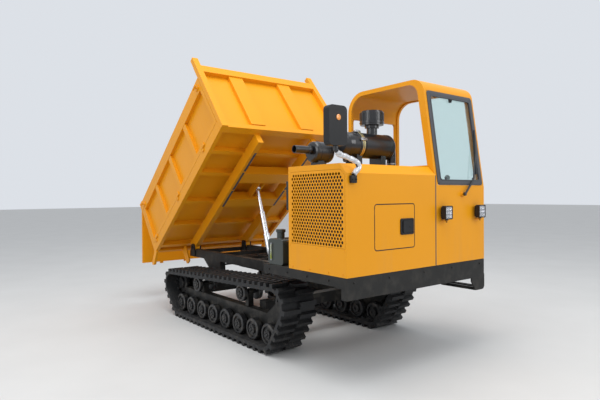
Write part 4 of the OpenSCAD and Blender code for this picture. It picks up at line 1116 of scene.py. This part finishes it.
class DUMPER_OT_intake(Step):
    """Makes the bands, ribs and clamps of the air cleaner, pre-cleaner and muffler."""

    bl_idname = "dumper.intake"
    bl_label = "Intake and exhaust"

    def build(self):
        x, z, radius = CLEANER_X, CLEANER_Z, CLEANER_R
        bands = [hoop("band", radius + 0.0075, radius + 0.0105, 0.005, 0.0045, (x, y, z), 72)
                 for y in (-0.340, -0.356)]
        dress("air_cleaner_band", bands, "zinc", "black_paint")
        catches = []
        for angle in (20, 75, 200, 290):
            a = math.radians(angle)
            turn = Matrix.Translation((x, -0.348, z)) @ Matrix.Rotation(-a, 4, "Y")
            strap = block("strap", (radius + 0.004, -0.034, -0.012), (radius + 0.015, 0.032, 0.012),
                          0.003, 2)
            loop = tube("loop", [(radius + 0.013, -0.038, -0.008), (radius + 0.022, -0.005, -0.008),
                                 (radius + 0.016, 0.030, 0.0), (radius + 0.022, -0.005, 0.008),
                                 (radius + 0.013, -0.038, 0.008)], 0.002, fine=6)
            catches += [put(strap, turn), put(loop, turn)]
        dress("air_cleaner_catches", catches, "bare_steel", "black_paint")
        valve = lathe("dust_valve",
                      [(0.018, 0.0), (0.021, 0.012), (0.019, 0.035), (0.012, 0.048), (0.0, 0.050)],
                      (x, -0.462, z - radius + 0.010), (0, 0, -1), 32)
        wear(valve, "machine", "seal_rubber", "black_paint")
        straps = [hoop("hoop", radius + 0.0005, radius + 0.003, 0.004, 0.003, (x, y + offset, z), 64)
                  for y in (-0.320, 0.020) for offset in (-0.012, 0.012)]
        dress("air_cleaner_hoops", straps, "black_paint", "black_paint")
        rings = [hoop("hose_clamp", 0.040, 0.0425, 0.006, 0.006, (x, 0.108, height), 48, UP)
                 for height in (1.700, 1.668)]
        dress("air_pipe_clamps", rings, "bare_steel", "black_paint")

        low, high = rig.box("pre_cleaner")
        centre = (low + high) / 2
        vanes = []
        reach = (high.y - low.y) / 2
        for k in range(24):
            turn = Matrix.Translation((centre.x, centre.y,
                                       0)) @ Matrix.Rotation(k * math.tau / 24, 4, "Z")
            vane = block("vane", (reach - 0.008, -0.0035, low.z + 0.060),
                         (reach - 0.002, 0.0035, high.z - 0.016),
                         0.0015, 1)
            vanes.append(put(vane, turn))
        dress("pre_cleaner_ribs", vanes, "black_paint", "black_paint")
        knob = lathe("pre_cleaner_nut", [(0, 0.0), (0.016, 0.0), (0.020, -0.005), (0.020, -0.012)],
                     (centre.x, centre.y, high.z), UP, 32)
        wear(knob, "machine", "black_paint", "black_paint")

        x, z, radius = MUFFLER_X, MUFFLER_Z, MUFFLER_R
        hoops = [hoop("hoop", radius - 0.0005, radius + 0.0025, 0.009, 0.008, (x, y, z), 64)
                 for y in (-0.650, -0.560)]
        hoops.append(hoop("collar", 0.0322, 0.036, 0.012, 0.010, (x, -0.728, z + 0.015), 40))
        dress("muffler_hoops", hoops, "black_paint", "black_paint")


class DUMPER_OT_hood_trim(Step):
    """Makes the painted shade in the door's gap and in the seams, the latch bezel, hinges and fasteners of the hood
    and cab front.
    """

    bl_idname = "dumper.hood_trim"
    bl_label = "Hood trim"

    def build(self):
        low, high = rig.box("access_door")
        out = axes(*FACING_FRONT, (FRONT_X - 0.0015, (low.y + high.y) / 2, (low.z + high.z) / 2))
        outline = round_outline((high.y - low.y) / 2 + 0.0035, (high.z - low.z) / 2 + 0.0035, 0.026)
        # Painted shade: a thin ring of dark plastic laid over the door's gap, standing in for the shade inside it
        gap = ring("access_door_gap", outline, 0.0075, 0.0022, out, 0.0004)
        wear(gap, "machine", "plastic", "black_plastic")
        bezel = ring("latch_bezel", round_outline(0.0785, 0.0640, 0.012), 0.0135, 0.0085,
                     axes(*FACING_FRONT, LATCH + Vector((0.0002, 0, 0))), 0.002)
        pad = plate("latch_pad", round_outline(0.070, 0.056, 0.010), 0.001,
                    axes(*FACING_FRONT, LATCH + Vector((0.0057, 0, 0))), 0.0002)
        dress("latch_bezel", [bezel, pad], "plastic", "black_plastic", "access_door")
        lock = lathe("latch_lock", [(0, 0.0030), (0.009, 0.0028), (0.011, 0.0)],
                     LATCH + Vector((0.0145, 0.028, 0)), FRONT, 28)
        wear(lock, "door_latch", "plastic", "black_plastic")

        # Painted shade: the dark strip of rubber where the hood meets the cab, along its front and top, stands in for
        # the shade in that gap
        gap_y = (HOOD_HI.y + CAB_LO.y) / 2
        strip = block("cab_seam", (FRONT_X - 0.030, gap_y - 0.0060, DECK_Z + 0.001),
                      (FRONT_X + 0.0012, gap_y + 0.0060, HOOD_HI.z - 0.074), 0.0010, 2)
        wear(strip, "machine", "seal_rubber", "black_plastic")
        # Painted shade along the top of the same gap
        ledge = block("hood_top_seam", (HOOD_LO.x + 0.004, gap_y - 0.0060, HOOD_HI.z - 0.030),
                      (HOOD_HI.x - 0.074, gap_y + 0.0018, HOOD_HI.z + 0.0012), 0.0010, 2)
        wear(ledge, "machine", "seal_rubber", "black_plastic")

        # Screws round the grille, and the hood's hold-down bolts
        low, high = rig.box("side_grille")
        screws = [(x, HOOD_LO.y + 0.001, low.z - 0.016)
                  for x in (low.x - 0.016, (low.x + high.x) / 2, high.x - 0.010)]
        wear(bolts("grille_screws", screws, RIGHT, 0.0045, 0.0045), "machine", "body_paint",
             "body_paint")
        feet = [(x, HOOD_LO.y + 0.001, DECK_Z + 0.022) for x in (1.42, 1.64, 1.86, 2.02)]
        wear(bolts("hood_feet", feet, RIGHT, 0.0065, 0.006), "machine", "body_paint", "body_paint")
        low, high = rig.box("access_door")
        leaves = []
        for z in (low.z + 0.06, high.z - 0.06):
            leaves.append(rod("knuckle", (FRONT_X - 0.003, low.y + 0.004, z - 0.022),
                              (FRONT_X - 0.003, low.y + 0.004, z + 0.022), 0.0042, 20, 0.0008))
        dress("access_door_knuckles", leaves, "body_paint", "body_paint")
        front = [(FRONT_X - 0.001, y, DECK_Z - 0.040) for y in (-0.80, -0.42, 0.0, 0.38, 0.80)]
        side = [(x, HOOD_LO.y + 0.0005, DECK_Z - 0.040) for x in (1.08, 1.34, 1.60, 1.86)]
        for name, places, way in (("platform_bolts", front, FRONT),
                                  ("platform_side_bolts", side, RIGHT)):
            wear(bolts(name, places, way, 0.0075, 0.0075), "machine", "frame_paint", "frame_paint")


class DUMPER_OT_hydraulics(Step):
    """Makes the oil cooler, the valve block, the hoses and the ram's gland rings."""

    bl_idname = "dumper.hydraulics"
    bl_label = "Hydraulics"

    def build(self):
        cooler = block("cooler_case", (1.312, -0.858, 1.300), (1.366, -0.500, 1.540), 0.006, 3)
        fins = [block("fin", (1.306, -0.846, 1.316 + 0.0165 * k), (1.312, -0.512, 1.322 + 0.0165 * k),
                      0.001, 1)
                for k in range(13)]
        dress("oil_cooler", [cooler] + fins, "core", "engine_iron")
        ports = [lathe("port", [(0, 0.022), (0.012, 0.022), (0.014, 0.018), (0.014, 0.0)],
                       (1.338, y, 1.300), (0, 0, -1), 24) for y in (-0.80, -0.56)]
        dress("oil_cooler_ports", ports, "bare_steel", "engine_iron")

        valve = block("valve", (1.045, -0.520, 0.662), (1.165, -0.400, 0.738), 0.006, 3)
        stems = [lathe("spool",
                       [(0, 0.030), (0.008, 0.029), (0.010, 0.024), (0.010, 0.006), (0.014, 0.005),
                                 (0.014, 0.0)], (1.165, -0.505 + 0.03 * k, 0.700), FRONT,
                                 20) for k in range(4)]
        dress("valve_block", [valve] + stems, "red_paint", "engine_iron")

        routes = {
            "cooler_hose_a": [(1.338, -0.800, 1.282), (1.336, -0.800, 1.210), (1.330, -0.790, 1.050),
                              (1.325, -0.760, 0.920), (1.322, -0.740, 0.835)],
            "cooler_hose_b": [(1.338, -0.560, 1.282), (1.336, -0.560, 1.200), (1.331, -0.580, 1.040),
                              (1.326, -0.640, 0.915), (1.322, -0.690, 0.835)],
            "barrel_hose": [(-0.105, 0.062, 0.640), (-0.02, 0.10, 0.600), (0.16, 0.16, 0.592),
                            (0.42, 0.20, 0.600),
                            (0.74, 0.20, 0.612), (0.98, 0.10, 0.640), (1.02, -0.16, 0.660),
                            (1.052, -0.40, 0.680)],
            "motor_hose_r": [(-0.86, -0.50, 0.430), (-0.80, -0.455, 0.520), (-0.62, -0.300, 0.600),
                             (-0.30, -0.285, 0.604), (0.20, -0.290, 0.600), (0.70, -0.300, 0.610),
                             (1.00, -0.360, 0.650), (1.052, -0.420, 0.680)],
            "motor_hose_l": [(-0.86, 0.50, 0.430), (-0.80, 0.455, 0.520), (-0.62, 0.300, 0.600),
                             (-0.30, 0.285, 0.604), (0.20, 0.290, 0.600), (0.66, 0.270, 0.606),
                             (0.98, -0.06, 0.640), (1.052, -0.44, 0.690)],
        }
        for name, points in routes.items():
            hose = tube(name, points, sizes().hose, fine=10)
            ends = []
            for end, nearby in ((points[0], points[1]), (points[-1], points[-2])):
                way = (Vector(nearby) - Vector(end)).normalized()
                ends.append(lathe("ferrule",
                                  [(0.006, -0.012), (0.013, -0.012), (0.013, 0.002), (0.0145, 0.003),
                                              (0.0145, 0.026), (0.011, 0.028)], end, way, 20))
            wear(hose, "machine", "hose", "black_plastic")
            dress(name + "_ends", ends, "bare_steel", "black_plastic")

        # Gland rings at the mouths of the ram's stages and barrel
        lean = Vector(JOINTS["stage_3_slide"]["axis"])
        base = Vector(JOINTS["barrel_tilt"]["pos_m"])
        for k, radius in ((1, 0.0355), (2, 0.028)):
            body = f"cylinder_stage_{k}"
            profile = [(radius - 0.006, 0.001), (radius - 0.003, 0.002), (radius + 0.0005, 0.001),
                       (radius + 0.0015, -0.002), (radius + 0.0015, -0.009), (radius, -0.010)]
            collar = lathe(body + "_gland", profile, self.mouth(body, base, lean), lean, 48)
            wear(collar, body, "bare_steel", "cylinder_chrome")
        nut = lathe("barrel_gland", [(0.040, 0.002), (0.046, 0.002), (0.049, -0.002), (0.049, -0.030),
                                     (0.046, -0.034)], self.mouth("cylinder_barrel", base, lean),
                                     lean, 48)
        wear(nut, "cylinder_barrel", "black_paint", "black_paint")

    def mouth(self, body, base, lean):
        """The point on the ram's axis where a stage ends."""
        return base + lean * max(lean.dot(v.co - base) for v in frame["nodes"][body].data.vertices)


class DUMPER_OT_tank_trim(Step):
    """Makes the tank's sight tube, straps and cap grip."""

    bl_idname = "dumper.tank_trim"
    bl_label = "Tank trim"

    def build(self):
        low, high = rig.box("fuel_tank")
        top = TANK_TOP
        x = TANK_X - 0.052
        route = [(x, low.y - 0.0005, DECK_Z + 0.040), (x, low.y - 0.008, DECK_Z + 0.052),
                 (x, low.y - 0.009, DECK_Z + 0.110), (x, low.y - 0.008, top - 0.052),
                 (x, low.y - 0.0005, top - 0.040)]
        wear(tube("tank_sight", route, 0.0055, fine=12), "machine", "fuel_sight", "tank_paint")
        nuts = [rod("nut", (x, low.y + 0.001, z), (x, low.y - 0.012, z), 0.009, 6, 0.001)
                for z in (DECK_Z + 0.044, top - 0.044)]
        dress("tank_sight_nuts", nuts, "bare_steel", "tank_paint")
        bands = []
        for y in (-0.760, -0.520):
            bands.append(block("strap", (1.037, y, DECK_Z + 0.001), (1.0405, y + 0.030, top - 0.030),
                               0.001, 1))
            bands.append(block("strap", (1.2595, y, DECK_Z + 0.001), (1.263, y + 0.030, top - 0.030),
                               0.001, 1))
            bands.append(block("strap", (1.070, y, top - 0.001), (1.230, y + 0.030, top + 0.0025),
                               0.001, 1))
        dress("tank_straps", bands, "frame_paint", "frame_paint")
        grips = []
        for k in range(18):
            turn = (Matrix.Translation((TANK_X, TANK_FILLER_Y, 0))
                    @ Matrix.Rotation(k * math.tau / 18, 4, "Z"))
            grip = block("grip", (0.036, -0.003, high.z - 0.024), (0.041, 0.003, high.z - 0.004),
                         0.001, 1)
            grips.append(put(grip, turn))
        dress("tank_cap_grip", grips, "plastic", "black_plastic")


class DUMPER_OT_seat(Step):
    """Makes the seat's cushion and backrest as padded cloth with piping."""

    bl_idname = "dumper.seat"
    bl_label = "Seat"

    def build(self):
        low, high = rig.box("seat")
        cushion = self.pad("seat_cushion", (low.x + 0.082, low.y + 0.016, low.z + 0.014),
                           (high.x - 0.014, high.y - 0.016, low.z + 0.078), 0.024)
        self.channels(cushion, "z")
        back = self.pad("seat_back", (low.x + 0.022, low.y + 0.020, low.z + 0.085),
                        (low.x + 0.088, high.y - 0.020, high.z - 0.014), 0.026)
        lean = (Matrix.Translation((low.x + 0.06, 0, low.z + 0.06))
                @ Matrix.Rotation(math.radians(-3.2), 4, "Y"))
        put(back, lean @ Matrix.Translation((-low.x - 0.046, 0, -low.z - 0.06)))
        self.channels(back, "x")
        for piece in (cushion, back):
            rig.padded(piece, fill=0.8)
        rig.replaces(cushion, "seat")
        base = block("seat_pan", (low.x + 0.075, low.y + 0.030, low.z + 0.0005),
                     (high.x - 0.030, high.y - 0.030, low.z + 0.016), 0.004, 2)
        shell = block("seat_shell", (low.x + 0.003, low.y + 0.036, low.z + 0.050),
                      (low.x + 0.030, high.y - 0.036, high.z - 0.080), 0.010, 3)
        dress("seat_pan", [base, shell], "plastic", "black_plastic")
        y0, y1 = low.y + 0.018, high.y - 0.018
        x0, x1, z = low.x + 0.086, high.x - 0.016, low.z + 0.062
        edge = tube("seat_piping",
                    [(x0, y0 + 0.03, z), (x0 + 0.03, y0, z), (x1 - 0.05, y0, z), (x1, y0 + 0.05, z),
                                    (x1, y1 - 0.05, z), (x1 - 0.05, y1, z), (x0 + 0.03, y1, z),
                                    (x0, y1 - 0.03, z)],
                    0.0038, closed=True, fine=10)
        wear(edge, "machine", "piping", "seat_cover")

    def pad(self, name, low, high, cap):
        """A crowned cushion: a block remeshed, swollen by cloth pressure and capped."""
        piece = block(name, low, high, 0.020, 4)
        modify(piece, "REMESH", mode="VOXEL", voxel_size=0.006)
        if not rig.quick():
            before = [vertex.co.copy() for vertex in piece.data.vertices]
            pick(piece)
            cloth = piece.modifiers.new("Cloth", "CLOTH")
            cloth.settings.use_pressure = True
            cloth.settings.uniform_pressure_force = 4.0
            cloth.settings.effector_weights.gravity = 0.0
            cloth.settings.tension_stiffness = cloth.settings.compression_stiffness = 12
            cloth.point_cache.frame_start, cloth.point_cache.frame_end = 1, 20
            scene = bpy.context.scene
            for step in range(1, 21):
                scene.frame_set(step)
            bpy.ops.object.modifier_apply(modifier=cloth.name)
            scene.frame_set(1)
            for vertex, start in zip(piece.data.vertices, before):
                shift = vertex.co - start
                if shift.length > cap:
                    vertex.co = start + shift.normalized() * cap
        modify(piece, "SMOOTH", factor=0.5, iterations=3)
        wear(piece, "machine", "fabric", "seat_cover")
        return piece

    def channels(self, piece, letter, places=(-0.12, 0.0, 0.12), depth=0.007):
        """Presses sewn channels into the face of a pad, then rounds it once."""
        index = "xyz".index(letter)
        middle = sum((vertex.co.y for vertex in piece.data.vertices)) / len(piece.data.vertices)
        for vertex in piece.data.vertices:
            if vertex.normal[index] < 0.2:
                continue
            for place in places:
                off = (vertex.co.y - middle - place) / 0.010
                vertex.co[index] -= depth * math.exp(-off * off)
        modify(piece, "SUBSURF", levels=1)
        smooth(piece, 60)


class DUMPER_OT_cab_fittings(Step):
    """Makes the console's panel, dials and switches, the floor mat and the lever boots."""

    bl_idname = "dumper.cab_fittings"
    bl_label = "Cab fittings"

    def build(self):
        top = CONSOLE_TOP
        centre = (CAB_LO.y + CAB_HI.y) / 2
        panel = plate("panel", round_outline(0.078, 0.240, 0.012), 0.004,
                      axes((1, 0, 0), (0, 1, 0), (1.943, centre, top - 0.0005)), 0.001)
        wear(panel, "machine", "plastic", "black_plastic").name = "console_panel"
        dials, faces = [], []
        for k, y in enumerate((centre - 0.030, centre + 0.030)):
            dials.append(lathe("bezel", [(0.022, 0.0), (0.026, 0.0), (0.026, 0.008), (0.022, 0.010),
                                         (0.021, 0.004)],
                               (1.975, y, top + 0.003), UP, 40))
            faces.append(lathe("face", [(0, 0.0045), (0.0215, 0.0045)],
                               (1.975, y, top + 0.003), UP, 40))
        dress("console_bezels", dials, "bare_steel", "black_plastic")
        dress("console_dials", faces, "dial", "black_plastic")
        keys = [block("key", (1.960, centre + side * (0.075 + 0.028 * k), top + 0.003),
                      (1.986, centre + side * (0.075 + 0.028 * k) + 0.018, top + 0.010), 0.002, 2)
                for side in (-1, 1) for k in range(3)]
        dress("console_switches", keys, "plastic", "black_plastic")
        for side, y in (("r", centre - LEVER_Y), ("l", centre + LEVER_Y)):
            folds = [(0.036, 0.0), (0.030, 0.005), (0.033, 0.009), (0.026, 0.014), (0.029, 0.018),
                     (0.021, 0.023),
                     (0.023, 0.027), (0.015, 0.032)]
            boot = lathe(f"lever_boot_{side}", folds, (LEVER_X, y, top + 0.001), UP, 32)
            wear(boot, "machine", "seal_rubber", "black_plastic")
        mat = block("floor_mat", (1.530, CAB_LO.y + 0.045, DECK_Z + 0.0305),
                    (1.960, CAB_HI.y - 0.050, DECK_Z + 0.0365), 0.002, 2)
        ribs = [block("rib", (1.550 + 0.024 * k, CAB_LO.y + 0.055, DECK_Z + 0.0365),
                      (1.562 + 0.024 * k, CAB_HI.y - 0.060, DECK_Z + 0.0385), 0.0006,
                      1) for k in range(17)]
        dress("floor_mat", [mat] + ribs, "seal_rubber", "black_plastic")


class DUMPER_OT_bed_trim(Step):
    """Makes the bed's latch handles and beam pads."""

    bl_idname = "dumper.bed_trim"
    bl_label = "Bed trim"

    def build(self):
        for side, sign in (("l", 1), ("r", -1)):
            handles = [self.latch(u, sign) for u in (0.30, 1.12, 1.96)]
            dress(f"drop_side_{side}_latches", handles, "body_paint", "body_paint", "bed")
            low_y, high_y = sorted((sign * 0.356, sign * 0.384))
            pads = [in_bed(block("pad", (start, low_y, -0.1192), (start + 0.30, high_y, -0.1170),
                                 0.0005, 1))
                    for start in (1.10, 1.42, 1.74)]
            dress(f"beam_pad_{side}", pads, "seal_rubber", "body_paint", "bed")

    def latch(self, u, sign):
        """A spring latch on the bed's lower edge."""
        hinge = BED_PLACE.inverted() @ Vector(JOINTS["drop_side_l_hinge"]["pos_m"])
        y = abs(hinge.y)
        keep = block("keep", (u - 0.030, -0.010, -0.012), (u + 0.030, 0.004, 0.026), 0.003, 2)
        bar = rod("bar", (u - 0.045, 0.006, -0.004), (u + 0.045, 0.006, -0.004), 0.006, 20, 0.001)
        piece = joined("latch", [keep, bar])
        flip = Matrix.Diagonal((1, sign, 1, 1))
        put(piece, Matrix.Translation((0, sign * (y - 0.045), hinge.z - 0.075)) @ flip)
        if sign < 0:
            piece.data.flip_normals()
        return in_bed(piece)


STEPS = (
    DUMPER_OT_stage,
    DUMPER_OT_steelwork,
    DUMPER_OT_running_gear,
    DUMPER_OT_plain_finishes,
    DUMPER_OT_glazing,
    DUMPER_OT_lamps,
    DUMPER_OT_mirror,
    DUMPER_OT_intake,
    DUMPER_OT_hood_trim,
    DUMPER_OT_hydraulics,
    DUMPER_OT_tank_trim,
    DUMPER_OT_seat,
    DUMPER_OT_cab_fittings,
    DUMPER_OT_bed_trim,
)


class DUMPER_PT_panel(bpy.types.Panel):
    """Lists the dumper's steps."""

    bl_idname = "DUMPER_PT_panel"
    bl_label = "Crawler dumper"
    bl_space_type = "VIEW_3D"
    bl_region_type = "UI"
    bl_category = "Dumper"

    def draw(self, context):
        for group in (context.scene.dumper_colours, context.scene.dumper_sizes):
            for key in group.__annotations__:
                self.layout.prop(group, key)
        for step in STEPS:
            self.layout.operator(step.bl_idname)


CLASSES = (DumperColours, DumperSizes, *STEPS, DUMPER_PT_panel)


def register():
    for item in CLASSES:
        bpy.utils.register_class(item)
    bpy.types.Scene.dumper_colours = bpy.props.PointerProperty(type=DumperColours)
    bpy.types.Scene.dumper_sizes = bpy.props.PointerProperty(type=DumperSizes)


def unregister():
    del bpy.types.Scene.dumper_sizes
    del bpy.types.Scene.dumper_colours
    for item in reversed(CLASSES):
        bpy.utils.unregister_class(item)


def main():
    register()
    for step in STEPS:
        getattr(bpy.ops.dumper, step.bl_idname.split(".")[1])()
    looks_box = [list(corner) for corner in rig.bounds()]
    with open("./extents.json", "w") as size_file:
        json.dump({"cad": CAD_BOX, "visual": looks_box}, size_file)


if __name__ == "__main__":
    main()
